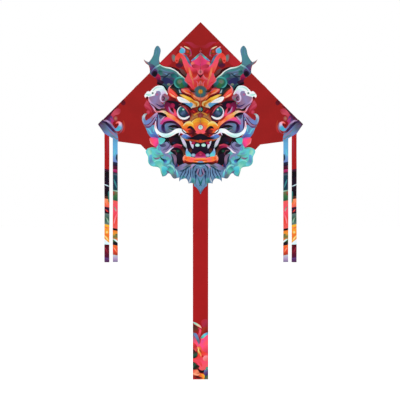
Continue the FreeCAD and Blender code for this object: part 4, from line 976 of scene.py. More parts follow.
def tailArt(a):
    # the tail's foot: here out is the place across the tail, not mirrored
    a.patch("cherry>crimson>sail", (4, -1372), (24, -1358), (42, -1366), (46, -1400), (30, -1412),
            (12, -1404))
    a.line("mist>mint>cream>blush", (4, 11, 12, 10, 3), (-46, -1376), (-32, -1384), (-18, -1392),
        (-4, -1402), (6, -1412))
    a.patch("maroon>brown>redDeep", (-46, -1396), (-30, -1396), (-16, -1410), (-14, -1432), (-26, -1440),
        (-46, -1432))
    a.line("crimson>pink>rose>redDeep", (3, 12, 13, 12, 4), (-14, -1412), (-2, -1420), (-4, -1440),
        (-8, -1456), (-2, -1470))
    a.patch("rust>sail>maroon", (16, -1410), (34, -1404), (46, -1416), (46, -1438), (24, -1436),
        (10, -1446), (8, -1428))
    a.patch("slate>pink>hotPink>magenta", (-46, -1450), (-30, -1470), (-14, -1500), (-2, -1500), (4, -1470),
        (24, -1456), (46, -1446), (46, -1560), (20, -1570), (-10, -1530), (-46, -1540))
    a.line("greyGreen>periwinkle>steel>slate>mauve", (8, 18, 17, 15, 5), (-46, -1442), (-30, -1450),
        (-20, -1468), (-12, -1488), (-10, -1506))
    a.line("greyGreen>sky>aqua>seafoam>teal", (12, 15, 16, 16, 6), (48, -1442), (34, -1446), (22, -1454),
        (12, -1464), (2, -1470))
    a.patch("orchid>pink>coral", (6, -1484), (24, -1478), (44, -1476), (44, -1506), (26, -1512), (8, -1512))
    a.patch("pink>cherry", (14, -1524), (30, -1512), (46, -1520), (46, -1572), (28, -1572), (16, -1550))
    a.patch("scarlet>cherry>coral", (-46, -1500), (-30, -1504), (-20, -1524), (-28, -1550), (-46, -1540))
    a.patch("coral>scarlet>pink>coral", (-16, -1520), (2, -1518), (16, -1546), (46, -1570), (46, -1650),
        (10, -1660), (-10, -1650), (-20, -1620), (-46, -1606), (-46, -1586), (-18, -1580))
    a.patch("blush>coral", (20, -1576), (44, -1574), (44, -1600), (26, -1606), (14, -1594))
    a.line("orange>butter>amber>salmon", (4, 12, 12, 10, 4), (-20, -1522), (-10, -1534), (-10, -1550),
        (-2, -1562), (4, -1578))
    a.line("amber>rust>scarlet", (3, 9, 9, 3), (-4, -1524), (-4, -1540), (4, -1552), (12, -1562))
    a.dot("redDeep>scarlet", (12, -1577), 7)
    a.patch("black>maroon>pine>black", (-46, -1536), (-30, -1546), (-16, -1560), (-22, -1578), (-34, -1588),
        (-46, -1584))
    a.patch("black>pine>black>brown", (-46, -1614), (-34, -1614), (-22, -1626), (-6, -1634), (-14, -1650),
        (-34, -1656), (-46, -1650))
    a.line("pink>scarlet", (3, 12, 14, 5), (-36, -1596), (-18, -1604), (-2, -1616), (8, -1636))
    a.patch("scarlet>salmon>rust", (-46, -1660), (-22, -1656), (-8, -1668), (-10, -1690), (-46, -1684))
    a.line("peach>salmon", (3, 8, 8, 3), (-44, -1676), (-28, -1684), (-12, -1686), (-4, -1678))
    a.line("maroon>black>night", (4, 14, 15, 12, 4), (-14, -1650), (-4, -1664), (12, -1668), (24, -1662),
        (34, -1658))
    a.patch("steel>violet>indigo>green", (22, -1660), (34, -1652), (46, -1652), (46, -1700), (28, -1698),
        (20, -1682))
    a.dot("seafoam>green", (40, -1648), 10)
    a.patch("gold>orange>scarlet", (24, -1690), (10, -1680), (-4, -1680), (-8, -1704), (20, -1716))
    a.line("rust>maroon>brown", (4, 12, 12, 5), (-46, -1692), (-26, -1698), (-8, -1702), (10, -1706))
    a.patch("pine>olive", (26, -1696), (46, -1690), (46, -1716), (24, -1716))


print("artwork laid out")


# how the sail bellies: its depth, and how far from the spine and the edges it takes to get there
billowSize = {"depth": 9.0, "spineReach": 190, "edgeReach": 130, "flatSpine": 20, "creases": 0.45}


def ease(share):
    share = min(max(share, 0), 1)
    return share * share * (3 - 2 * share)


def billow(out, z):
    # how far forward the wind side of the sail bellies: none on the spine and the leading edge
    b = billowSize
    fromEdge = (noseHeight - z - out) / math.sqrt(2)
    belly = ease((out - b["flatSpine"]) / b["spineReach"]) * ease(fromEdge / b["edgeReach"])
    fan = math.atan2(out, noseHeight + 60 - z)
    crease = math.sin(fan * 34) + 0.6 * math.sin(fan * 57 + z / 90)
    return -belly * (b["depth"] + b["creases"] * crease)


def boundaries(node, facing=(0, -1, 0)):
    # the edges of one face of a CAD panel, longest first, as points in millimetres
    bm = bmesh.new()
    bm.from_mesh(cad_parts[node].data)
    bmesh.ops.remove_doubles(bm, verts=bm.verts, dist=1e-6)
    faces = {f for f in bm.faces if f.normal.dot(Vector(facing)) > 0.9}
    following = {}
    for f in faces:
        for corner in f.loops:
            if corner.link_loop_radial_next.face not in faces:
                following[corner.vert] = corner.link_loop_next.vert
    rings = []
    while following:
        vert, after = following.popitem()
        ring = [vert.co / mm]
        while after in following:
            ring.append(after.co / mm)
            after = following.pop(after)
        rings.append(ring)
    bm.free()
    return sorted(rings, key=lambda r: -sum((a - b).length for a, b in zip(r, r[1:] + r[:1])))


def divided(ring, step, closed=True):
    # the ring, or the open path, with no side longer than step
    made = []
    for a, b in zip(ring, ring[1:] + (ring[:1] if closed else [])):
        parts = max(1, math.ceil(math.dist(a, b) / step))
        made += [[a[i] + (b[i] - a[i]) * k / parts for i in (0, 1)] for k in range(parts)]
    return made if closed else made + [list(ring[-1])]


def cutCloth(outline, artwork=None, ground="sail", spacing=8, holes=()):
    # a flat cut, divided where its print changes ink: points, triangles and the ink at each corner
    rim = turnedLeft(divided([list(p) for p in outline], spacing))
    stops = [inkValues[w] for w in ground.split(">")]
    high, low = max(p[1] for p in rim), min(p[1] for p in rim)
    layers = [(rim, lambda x, z: tint(stops, (high - z) / (high - low)))]
    layers += artwork.layers if artwork else []
    firstHole = len(layers)
    layers += [(turnedLeft([list(p) for p in ring]), None) for ring in holes]
    points, faces = [], []
    for ring, _ in layers:
        faces.append(list(range(len(points), len(points) + len(ring))))
        points += ring
    edge = np.array(rim)
    lowest, highest = edge.min(0), edge.max(0)
    row = 0
    z = lowest[1] + spacing / 2
    while z < highest[1]:
        x = lowest[0] + spacing / 2 * (1 + row % 2)
        while x < highest[0]:
            if np.hypot(edge[:, 0] - x, edge[:, 1] - z).min() > spacing * 0.45:
                points.append([x, z])
            x += spacing
        z += spacing * 0.87
        row += 1
    placed, _, triangles, _, _, sources = delaunay_2d_cdt(
        [Vector(p) for p in points], [], faces, 1, 1e-3, True)
    middles = np.array([[sum(placed[i][axis] for i in t) / 3 for axis in (0, 1)] for t in triangles])
    top = np.full(len(triangles), -1)
    claims = {}
    for number, owners in enumerate(sources):
        for owner in owners:
            claims.setdefault(owner, []).append(number)
    for owner in sorted(claims):
        claimed = np.array(claims[owner])
        top[claimed[inside(layers[owner][0], middles[claimed])]] = owner
    within = inside(rim, middles)
    kept, inkAt, seen = [], [], {}
    for triangle, top, sound in zip(triangles, top.tolist(), within):
        if not sound or top < 0 or top >= firstHole:
            continue
        kept.append(triangle)
        for corner in triangle:
            if (top, corner) not in seen:
                seen[top, corner] = layers[top][1](*placed[corner])
            inkAt.append(seen[top, corner])
    used = sorted({corner for t in kept for corner in t})
    number = {old: new for new, old in enumerate(used)}
    return {"points": [tuple(placed[i]) for i in used], "triangles": [[number[i] for i in t] for t in kept],
            "inks": np.array(inkAt), "area": areaOf(rim) - sum(areaOf(h) for h in holes)}


def added(name, data):
    made = bpy.data.objects.new(name, data)
    bpy.context.collection.objects.link(made)
    return made


def finished(made, finish, thickness=None, angle=35):
    bpy.ops.object.select_all(action="DESELECT")
    made.select_set(True)
    bpy.context.view_layer.objects.active = made
    if thickness:
        wall = made.modifiers.new("thickness", "SOLIDIFY")
        wall.thickness, wall.offset, wall.use_even_offset = thickness * mm, 0, False
        bpy.ops.object.modifier_apply(modifier="thickness")
    bpy.ops.object.shade_smooth_by_angle(angle=math.radians(angle))
    made.data.materials.append(finishes[finish])
    return made


def makeCloth(name, cut, place, mirrored=False, thickness=0.4, finish="print"):
    mesh = bpy.data.meshes.new(name)
    triangles = cut["triangles"]
    inkAt = cut["inks"].reshape(-1, 3, 3)
    if mirrored:
        triangles = [t[::-1] for t in triangles]
        inkAt = inkAt[:, ::-1]
    mesh.from_pydata([Vector(place(*p)) * mm for p in cut["points"]], [], triangles)
    colours = mesh.color_attributes.new("print", "FLOAT_COLOR", "CORNER")
    flat = np.concatenate([inkAt.reshape(-1, 3), np.ones((len(triangles) * 3, 1))], 1)
    colours.data.foreach_set("color", flat.astype(np.float32).ravel())
    layer = mesh.uv_layers.new(name="cut")
    places = np.array(cut["points"])[np.array(triangles).ravel()] * mm
    layer.data.foreach_set("uv", places.astype(np.float32).ravel())
    return finished(added(name, mesh), finish, thickness)


def lofted(name, sections, thickness, finish):
    # a sheet through rows of points; its map is the cloth laid flat
    rows, count = len(sections), len(sections[0])
    mesh = bpy.data.meshes.new(name)
    faces = [[i * count + k, i * count + k + 1, (i + 1) * count + k + 1, (i + 1) * count + k]
             for i in range(rows - 1) for k in range(count - 1)]
    mesh.from_pydata([Vector(p) * mm for row in sections for p in row], [], faces)
    middle = rows // 2
    across = [0.0]
    for a, b in zip(sections[middle], sections[middle][1:]):
        across.append(across[-1] + math.dist(a, b) * mm)
    along = [0.0]
    for a, b in zip(sections, sections[1:]):
        along.append(along[-1] + math.dist(a[0], b[0]) * mm)
    layer = mesh.uv_layers.new(name="cut")
    for face in mesh.polygons:
        for loop in face.loop_indices:
            spot = mesh.loops[loop].vertex_index
            layer.data[loop].uv = (across[spot % count], along[spot // count])
    made = added(name, mesh)
    made["flat"] = (across[-1], along[-1])
    return finished(made, finish, thickness)


def fasten(made, rule):
    # one body, to which the piece is parented; given two bodies and the points between them, the piece is
    # only baked where it stands, fastened to neither
    if len(rule) == 1:
        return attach(made, rule[0])
    first, second, start, end = rule
    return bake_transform(made, first, second, start=Vector(start) * mm, end=Vector(end) * mm)


def dressed(made, nodes, slot, rule):
    if nodes:
        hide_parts(*nodes)
    fasten(made, rule)
    return made


# stitches: one is modelled, and each seam is a row of its copies
stitchSize = {"length": 3.0, "width": 0.55, "height": 0.36, "pitch": 4.2}


def modelStitch():
    bpy.ops.object.select_all(action="DESELECT")
    bpy.ops.mesh.primitive_cylinder_add(vertices=5, radius=0.5, depth=1, rotation=(0, math.pi / 2, 0))
    one = bpy.context.object
    bpy.ops.object.transform_apply(location=False, rotation=True, scale=False)
    bpy.ops.object.mode_set(mode="EDIT")
    bpy.ops.mesh.select_all(action="SELECT")
    bpy.ops.mesh.subdivide(number_cuts=1)
    bpy.ops.object.mode_set(mode="OBJECT")
    for v in one.data.vertices:
        if abs(v.co.x) > 0.4:
            v.co.y, v.co.z = v.co.y * 0.45, v.co.z * 0.4 - 0.35
    points = [tuple(v.co) for v in one.data.vertices]
    faces = [list(f.vertices) for f in one.data.polygons]
    bpy.data.objects.remove(one)
    return points, faces


stitchPoints, stitchFaces = modelStitch()


def sewn(name, path, place, outward, rule, thread="darkThread", closed=False):
    # a row of stitches along a path on a cloth, standing on the side that outward says
    s = stitchSize
    corners = [Vector(p[:2]) for p in path] + ([Vector(path[0][:2])] if closed else [])
    lengths = [(b - a).length for a, b in zip(corners, corners[1:])]
    count = max(1, int(sum(lengths) / s["pitch"]))
    points, faces = [], []
    reached, k = 0.0, 0
    for i in range(count):
        spot = sum(lengths) * (i + 0.5) / count
        while k < len(lengths) - 1 and reached + lengths[k] < spot:
            reached += lengths[k]
            k += 1
        flat = corners[k].lerp(corners[k + 1], (spot - reached) / max(lengths[k], 1e-6))
        way = (corners[k + 1] - corners[k]).normalized()
        centre = Vector(place(*flat))
        ahead = (Vector(place(*(flat + way))) - centre).normalized()
        up = Vector(outward)
        sideways = up.cross(ahead).normalized()
        base = len(points)
        points += [centre + ahead * (x * s["length"]) + sideways * (y * s["width"]) + up * (z * s["height"])
                   for x, y, z in stitchPoints]
        faces += [[base + v for v in f] for f in stitchFaces]
    mesh = bpy.data.meshes.new(name)
    mesh.from_pydata([p * mm for p in points], [], faces)
    return fasten(finished(added(name, mesh), thread, angle=60), rule)


def insetPath(ring, depth, keepTo=None):
    # the ring moved inwards, for a seam beside an edge
    count, made = len(ring), []
    for i in range(count):
        before, here, after = (Vector(ring[(i + k) % count]) for k in (-1, 0, 1))
        way = (after - before).normalized()
        p = here + Vector((-way.y, way.x)) * depth
        if keepTo is None or keepTo(p):
            made.append(p)
    return made


def halfOutline(wing, strip):
    # a wing's outline carried in to the spine, as (out, z)
    ring = turnedLeft([(abs(p.x), p.z) for p in boundaries(wing)[0]])
    inner = min(p[0] for p in ring) + 0.2
    turn = next(i for i in range(len(ring)) if ring[i - 1][0] <= inner < ring[i][0])
    ring = ring[turn:] + ring[:turn]
    edge = [p[1] for p in ring if p[0] <= inner]
    low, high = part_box(strip)
    outer = [p for p in ring if p[0] > inner]
    return [(0, high.z / mm), (0, low.z / mm), (inner, min(edge)), *outer, (inner, max(edge))]


def overSail(side, depth):
    # where a point of the flat cut lies in the kite, this far behind the middle of the sail
    return lambda out, z: (side * out, depth + billow(out, z), z)


def hingeRule(word):
    side = sides[word]
    return "frame", f"wing_{word}", (side * 10, 0, 0), (side * 18, 0, 0)


sailPrint, maskPrint = Artwork(sailArt), Artwork(maskArt)
print("print shapes:", len(sailPrint.layers), len(maskPrint.layers))
sailOutline = halfOutline("sail_left", "sail_centre")
maskOutline = halfOutline("mask_left", "mask_centre")
sailCut = cutCloth(sailOutline, sailPrint)
maskCut = cutCloth(maskOutline, maskPrint, spacing=7)
print("sail and mask cut:", len(sailCut["triangles"]), len(maskCut["triangles"]), "triangles")


def makeSailHalf(word):
    for kind, cut, depth, slot, flat in (
            ("sail", sailCut, 0, "sail_cloth", (0.6, 0.935)),
            ("mask", maskCut, -0.7, "printed_mask", (0.343, 0.79))):
        place = overSail(sides[word], depth)
        cloth = makeCloth(kind + word.title(), cut, place, sides[word] < 0)
        dressed(cloth, (f"{kind}_{word}", f"{kind}_centre"), slot, hingeRule(word))
        cut["area"] * 1e-6


beardSize = {"depth": -1.4, "seam": -466, "hinge": (-462, -490), "reach": 118}


def makeBeard():
    b = beardSize
    both = Artwork()
    for shape, ink in Artwork(hairArt, beardArt, strandArt).layers:
        both.layers.append((shape, ink))
        both.layers.append((turnedLeft([[-x, z] for x, z in shape]), lambda x, z, ink=ink: ink(-x, z)))
    cut = cutCloth([(p.x, p.z) for p in boundaries("beard_flap")[0]], both, "steel", spacing=7)

    def place(x, z, lift=0.0):
        loose = ease((-470 - z) / 120)
        belly = b["depth"] + billow(abs(x), max(z, -560))
        return x, belly - loose * (2.2 + 1.2 * math.sin(x / 21)) + lift, z
    rule = ("frame", "beard", *((0, b["depth"], z) for z in b["hinge"]))
    flap = dressed(makeCloth("beardFlap", cut, place), ("beard_flap",), "printed_mask", rule)
    cut["area"] * 1e-6
    sewn("beardSeam", [(-b["reach"], b["seam"]), (b["reach"], b["seam"])], lambda x, z: place(x, z, -0.3),
         (0, -1, 0), ("frame",))


for word in sides:
    makeSailHalf(word)
makeBeard()
print("sail, mask and beard made")


# tail and ribbons: flat strips with a print, which hang in slow waves
tailSize = {"centre": 0, "half": 45, "root": -544, "hinge": -558.2, "firstSeam": -750, "midHinge": -943.3,
            "secondSeam": -1136, "lowHinge": -1328.7, "foot": -1713.5, "wave": 8.0, "waveLength": 640}


def tailPlace(x, z, side):
    t = tailSize
    below = -640 - z
    wave = -ease(below / 160) * t["wave"] * math.sin(2 * math.pi * max(below, 0) / t["waveLength"])
    turn = 0.05 * x * ease(below / 200) * math.sin(2 * math.pi * max(below, 0) / 470)
    flutter = 1.1 * (x / t["half"]) ** 2 * math.sin(z / 23 + x / 90) * ease(below / 80)
    tuck = 1.0 * ease((z + 562) / 6)
    return x, wave + turn + flutter + tuck, z


def raised(place, side, lift=0.0):
    # places on one side of the kite, this far off the cloth
    def spot(x, z):
        x, y, z = place(x, z, side)
        return x, y + lift, z
    return spot


def strip(name, size, top, foot, artwork, place, rule, node, slot, rests):
    # one length of the tail, or one of a ribbon on each side, where WORD is left or right
    centre, half = size["centre"], size["half"]
    ring = [(centre - half, foot), (centre + half, foot), (centre + half, top), (centre - half, top)]
    cut = cutCloth(ring, artwork, "tailRed")
    for word, side in (sides.items() if centre else [("", 1)]):
        label = name + word.title()
        bodies = [r.replace("WORD", word) if isinstance(r, str) else r for r in rule]
        cloth = makeCloth(label, cut, raised(place, side), side < 0)
        dressed(cloth, (node.replace("WORD", word),), slot, bodies)
        for letter, inset in (("A", 4 - half), ("B", half - 4)):
            path = [(centre + inset, top - 4 - k * (top - foot - 8) / 60) for k in range(61)]
            sewn(f"{label}Seam{letter}", path, raised(place, side, -0.3), (0, -1, 0), bodies,
                              "redThread")
        2 * half * mm
        (top - foot) * mm


def makeTail():
    t, body, above = tailSize, "frame", "sailLeft"
    for name, which, top, foot, hinge, artwork in (
            ("tailTop", "upper", "root", "firstSeam", "hinge", None),
            ("tailMiddle", "middle", "firstSeam", "secondSeam", "midHinge", None),
            ("tailFoot", "lower", "secondSeam", "foot", "lowHinge", Artwork(tailArt))):
        rule = (body, f"{which}_tail", (0, 0, t[hinge] + 12), (0, 0, t[hinge] - 16))
        strip(name, t, t[top], t[foot], artwork, tailPlace, rule, f"tail_{which}", "tail_cloth", above)
        body, above = f"{which}_tail", name


ribbonSizes = {
    "outer": {"centre": 548, "half": 14.5, "root": -262, "hinge": -282.2, "seam": -470, "curl": -654.0,
              "foot": -1026.5, "phase": 0.4},
    "inner": {"centre": 499, "half": 14.5, "root": -292, "hinge": -311.3, "seam": -490, "curl": -668.0,
              "foot": -1025.5, "phase": 2.3}}


def makeRibbons(kind, art):
    r = ribbonSizes[kind]

    def place(out, z, side):
        below = r["hinge"] - z
        phase = r["phase"] + (0.9 if side > 0 else 0)
        free = ease((below - 6) / 190)
        wave = 7.5 * free * math.sin(max(below, 0) / 62 + phase)
        turn = 0.22 * (out - r["centre"]) * free * math.sin(max(below, 0) / 88 + 2 * phase)
        behind = 1.0 * ease((z - r["hinge"] + 22) / 12)
        fromSail = (billow(out, z) if z > r["hinge"] else billow(out, r["hinge"]) * ease(1 - below / 160))
        return side * out, fromSail + behind + wave + turn, z
    body, above = "wing_WORD", "sailWORD"
    for name, which, top, foot, start, end in (
            ("Top", "upper", "root", "seam", r["hinge"] + 6, r["hinge"] - 16),
            ("Foot", "lower", "seam", "foot", r["curl"] + 12, r["curl"] - 12)):
        label, rule = f"{kind}Ribbon{name}", (body, f"{kind}_ribbon_{which}_WORD", (0, 0, start), (0, 0, end))
        strip(label, r, r[top], r[foot], art, place, rule, f"ribbon_{kind}_{which}_WORD", "ribbon_cloth",
              above)
        body, above = rule[1], label + "WORD"


makeTail()
makeRibbons("outer", Artwork(outerRibbonArt))
makeRibbons("inner", Artwork(innerRibbonArt))
print("tail and ribbons made")


# sewing on the back of the sail: sleeves, pockets and hems
sleeveSizes = {
    "base": 0.45, "cloth": 0.4, "flange": 9.0,
    "edge": {"rod": (3.0, 3.6), "wall": 2.59, "Upper": (45.0, 514.2), "Lower": (539.4, 806.3)},
    "spine": {"rod": (0.0, 4.1), "wall": 3.09, "Upper": (60.0, 360.0), "Lower": (400.0, 875.0)}}
# from the pocket's mouth on: how far along, and the share of its full height; the end is folded down
pocketSizes = {
    "length": 36.0, "half": 4.65, "flange": 2.6, "base": 0.5, "cloth": 0.5, "tacks": (3.0, 5.0, 37.9),
    "folds": [(0, 1.03), (0.6, 1), (6, 1), (14, 1), (22, 1), (30, 1), (34, 1), (35.4, 0.97), (36.6, 0.8),
              (37.6, 0.42), (39.4, 0.04)]}


def onEdge(side, along, inward, y):
    # a place beside the leading edge
    s = math.sqrt(0.5)
    return side * (along - inward) * s, y, noseHeight - (along + inward) * s


def onSpine(side, along, inward, y):
    return inward, y, noseHeight - along


def hump(centre, half, base, top, flanges, square, count=12):
    # the section of cloth that lies flat, goes over something and lies flat again
    made = [(centre - half - flanges[0] * (1 - k / 3), base) for k in range(4 if flanges[0] else 1)]
    for k in range(count + 1):
        a = math.pi * (1 - k / count)
        c, s = math.cos(a), math.sin(a)
        made.append((centre + half * math.copysign(abs(c) ** square, c), base + (top - base) * s ** square))
    return made + [(centre + half + flanges[1] * (k + 1) / 3, base) for k in range(3 if flanges[1] else 0)]


def makeSleeve(label, kind, number, place, side, node, body):
    s, k = sleeveSizes, sleeveSizes[kind]
    start, end = k[number]
    count = max(12, round((end - start) / 12))
    middle, height = k["rod"]
    flanges = (0, s["flange"]) if kind == "edge" else (s["flange"], s["flange"])
    sections = []
    for i in range(count + 1):
        along = start + (end - start) * i / count
        slack = 0.16 * (1 + math.sin(along / 9.0 + side) * math.sin(along / 23.0))
        mouth = 0.5 if i in (0, count) else 0
        top = height + k["wall"] + slack + mouth
        rows = hump(middle, k["wall"] + mouth * 0.3, s["base"], top, flanges, 0.7)
        sections.append([place(side, along, a, y) for a, y in rows])
    sleeve = dressed(lofted(label, sections, s["cloth"], "sleeve"), (node,), "sleeve_cloth", (body,))
    for f, way, letter in zip(flanges, (-1, 1), "AB"):
        for row, depth in enumerate((1.6, 6.5) if f else ()):
            inward = middle + way * (k["wall"] + depth)
            path = [(inward, start + 3), (inward, end - 3)]
            for name, y, up in (("Back", s["base"] + 0.25, 1), ("Front", -0.3, -1)):
                if name == "Front" and (kind == "spine" or row):
                    continue
                sewn(f"{label}Seam{name}{row}{letter}", path,
                                  lambda a, b, y=y: place(side, b, a, y), (0, up, 0), (body,), "redThread")


def makePocket(label, place, side, start, way, rod, node, body):
    # start is the open mouth; the far end is folded down flat and tacked
    p = pocketSizes
    middle, height = rod
    sections = []
    for step, share in p["folds"]:
        rows = hump(middle, p["half"] * (0.9 + 0.1 * share), p["base"],
                    p["base"] + (height - p["base"]) * share, (p["flange"] * 0.2, p["flange"]), 0.36)
        sections.append([place(side, start + way * step, a, y) for a, y in rows])
    pocket = dressed(lofted(label, sections, p["cloth"], "webbing"), (node,), "webbing", (body,))
    for number, spot in enumerate(p["tacks"]):
        along = start + way * spot
        path = [(middle - p["half"] - 0.3, along), (middle + p["half"] + 2.4, along)]
        top = height + 0.3 if spot < p["length"] else 1.1
        sewn(f"{label}Tack{number}", path, lambda a, b, top=top: place(side, b, a, top),
                          (0, 1, 0), (body,), "redThread")


hemSize = {"width": 12, "depth": 0.45, "seam": 6.5}


def makeHem(word):
    side, h = sides[word], hemSize
    ring = turnedLeft([(abs(p.x), p.z) for p in boundaries(f"trailing_hem_{word}")[0]])
    cut = cutCloth(ring, None, "sailDark", spacing=6)
    hem = makeCloth(f"trailingHem{word.title()}", cut, overSail(side, h["depth"]), side < 0)
    dressed(hem, (f"trailing_hem_{word}",), "sail_cloth", (f"wing_{word}",))
    path = insetPath(turnedLeft(divided(sailOutline, 12)), h["seam"])
    path = [p for p in path if 48 < p.x < 556 and p.y < -238 - (p.x < 470) * 40]
    for name, y, up, start in (("Back", 0.75, 1, 0), ("Front", -0.3, -1, 350)):
        # in front, the mask covers the row as far out as start
        sewn(f"hemSeam{name}{word.title()}", [p for p in path if p.x > start],
                          overSail(side, y), (0, up, 0), (f"wing_{word}",), "redThread")
    area = cut["area"] * 1e-6
    area / (h["width"] * mm)


for word, side in sides.items():
    for number in ("Upper", "Lower"):
        makeSleeve(f"edgeSleeve{number}{word.title()}", "edge", number, onEdge, side,
                   f"edge_sleeve_{number.lower()}_{word}", f"wing_{word}")
    makePocket(f"tipPocket{word.title()}", onEdge, side, 808.5, 1, (3.0, 7.0), f"tip_pocket_{word}",
               f"wing_{word}")
    makeHem(word)
for number in ("Upper", "Lower"):
    makeSleeve(f"spineSleeve{number}", "spine", number, onSpine, 1, f"spine_sleeve_{number.lower()}",
               "frame")
makePocket("nosePocket", onSpine, 1, 52, -1, (0.0, 8.0), "nose_pocket", "frame")
makePocket("tailPocket", onSpine, 1, 890, 1, (0.0, 8.0), "tail_pocket", "frame")
print("sleeves, pockets and hems made")


# seams on the face of the mask, and the tapes that hold the horns' battens
maskSeam = {"inset": 3.2, "depth": -0.98, "from": 20, "gap": 14}


def makeMaskSeams(word):
    m = maskSeam
    ring = divided([p for p in maskOutline if p[0] > 0], 6)
    path = insetPath(turnedLeft(ring), m["inset"], lambda p: p.x > m["from"])
    runs = [[]]
    for a, b in zip(path, path[1:] + path[:1]):
        runs[-1].append(a)
        if (b - a).length > m["gap"]:
            runs.append([])
    for number, run in enumerate(r for r in runs if len(r) > 3):
        sewn(f"maskSeam{number}{word.title()}", run, overSail(sides[word], m["depth"]), (0, -1, 0),
             (f"wing_{word}",))


battenTape = {"half": 7.0, "height": 15, "places": (0.14, 0.86), "flange": (5, 5), "cloth": 0.35}


def makeBattenTapes(word):
    side, b = sides[word], battenTape
    points = [v.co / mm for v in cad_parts[f"horn_batten_{word}"].data.vertices]
    top, foot = max(p.z for p in points), min(p.z for p in points)
    ends = []
    for low, high in ((foot, foot + 12), (top - 12, top)):
        near = [abs(p.x) for p in points if low <= p.z <= high]
        ends.append(sum(near) / len(near))
    for number, share in enumerate(b["places"]):
        centre = ends[0] + (ends[1] - ends[0]) * share
        z = foot + (top - foot) * share
        rows = hump(centre, b["half"], -0.28, 0.85, b["flange"], 0.5)
        sections = [[(side * a, y, z + step) for a, y in rows]
                    for step in (-b["height"] / 2, -2, 2, b["height"] / 2)]
        tape = lofted(f"battenTape{number}{word.title()}", sections, b["cloth"], "webbing")
        dressed(tape, (), "webbing", (f"wing_{word}",))


for word in sides:
    makeMaskSeams(word)
    makeBattenTapes(word)
print("mask seams and batten tapes made")


# keel: cloth across the kite's depth, taped along its free edges, with a doubled corner and eyelets
keelSize = {"tip": (170.0, 45.0), "top": (3.9, 228.0), "foot": (3.9, -236.7), "tape": 10.0, "belly": 2.6,
            "patchReach": 110.0, "tapeCloth": 0.32, "tapeSeam": 8.2, "patchCloth": 0.36, "patchSeam": 3.0,
            "root": [(4.7, 226), (4.7, -234)]}


def keelBelly(depth, z):
    k = keelSize
    away = math.dist((depth, z), k["tip"])
    return k["belly"] * ease(depth / 60) * ease((away - 100) / 120) * math.sin(z / 66 + 0.8)


def keelRing(node):
    # the outline and the holes on the panel's outermost face
    found = boundaries(node, (1, 0, 0))
    outermost = max(ring[0].x for ring in found)
    rings = [[(-p.y, p.z) for p in ring] for ring in found if ring[0].x > outermost - 0.1]
    return turnedLeft(rings[0]), rings[1:]


def onKeel(layer=0.0):
    # where a point of the keel's cut lies, this far to one side of the cloth
    return lambda depth, z: (layer + keelBelly(depth, z), -depth, z)


def makeKeelTape(name, end):
    # folded round the edge from end to the patch; returns the tape and its seams
    k = keelSize
    a, tip = Vector(end), Vector(k["tip"])
    way = (tip - a).normalized()
    inward = Vector((-way.y, way.x))
    if (Vector((60, 0)) - a).dot(inward) < 0:
        inward = -inward
    length = (tip - a).length - k["patchReach"] - 1.5
    fold = [(k["tape"], 0.44), (6, 0.44), (2, 0.45), (0.3, 0.4), (-0.15, 0.15)]
    sections = []
    for i in range(15):
        section = []
        for depth, layer in fold + [(depth, -layer) for depth, layer in reversed(fold)]:
            p = a + way * (length * i / 14) + inward * depth
            section.append(onKeel(layer)(max(p.x, k["top"][0]), p.y))
        sections.append(section)
    tape = lofted(f"keelTape{name}", sections, k["tapeCloth"], "tape")
    dressed(tape, ("keel_edge_tape",), "webbing", ("keel",))
    path = [tuple(a + way * spot + inward * k["tapeSeam"]) for spot in (17, length - 3)]
    seams = [sewn(f"keelTapeSeam{name}{word.title()}", divided(path, 30, False), onKeel(side * 0.66),
                  (side, 0, 0), ("keel",)) for word, side in sides.items()]
    return [tape, *seams]


def makeKeel():
    k = keelSize
    ring, holes = keelRing("keel_cloth")
    cut = cutCloth(ring, None, "sail", 8, holes)
    cloth = dressed(makeCloth("keelCloth", cut, onKeel()), ("keel_cloth",), "sail_cloth", ("keel",))
    tapes = makeKeelTape("Upper", k["top"]) + makeKeelTape("Lower", k["foot"])
    cut["area"] * 1e-6
    ring, holes = keelRing("keel_patch")
    cut = cutCloth(ring, None, "maroon", 8, holes)
    for word, side in sides.items():
        patch = makeCloth(f"keelPatch{word.title()}", cut, onKeel(side * 0.45), thickness=k["patchCloth"])
        dressed(patch, ("keel_patch",), "webbing", ("keel",))
        row = sewn(f"keelPatchSeam{word.title()}", insetPath(ring, k["patchSeam"]), onKeel(side * 0.68),
                   (side, 0, 0), ("keel",), "redThread", closed=True)
        cut["area"] * 1e-6
    for word, side in sides.items():
        sewn(f"keelRootSeam{word.title()}", divided(k["root"], 40, False), onKeel(side * 0.25),
             (side, 0, 0), ("keel",), "redThread")


def lathed(name, profile, centre, axis, steps, finish):
    # a closed profile turned about an axis; profile is (along the axis, radius), in millimetres
    bpy.ops.object.select_all(action="DESELECT")
    bpy.ops.mesh.primitive_circle_add(vertices=len(profile), radius=1)
    made = bpy.context.object
    made.name = made.data.name = name
    up = Vector((0, 0, 1))
    for vert, (along, radius) in zip(made.data.vertices, profile):
        vert.co = (Vector(centre) + Vector(axis) * along + up * radius) * mm
    bpy.ops.object.mode_set(mode="EDIT")
    bpy.ops.mesh.select_all(action="SELECT")
    bpy.ops.mesh.spin(steps=steps, angle=2 * math.pi, center=Vector(centre) * mm, axis=axis)
    bpy.ops.mesh.select_all(action="SELECT")
    bpy.ops.mesh.remove_doubles(threshold=0.000002)
    bpy.ops.mesh.normals_make_consistent(inside=False)
    bpy.ops.object.mode_set(mode="OBJECT")
    return finished(made, finish, angle=40)


eyeletProfile = [(-1.2, 3.5), (-1.08, 4.5), (-0.72, 5.3), (-0.66, 5.5), (-0.66, 3.3), (0.66, 3.3),
                 (0.66, 5.5), (0.72, 5.3), (1.08, 4.5), (1.2, 3.5), (1.0, 2.9), (0.5, 2.55), (-0.5, 2.55),
                 (-1.0, 2.9)]


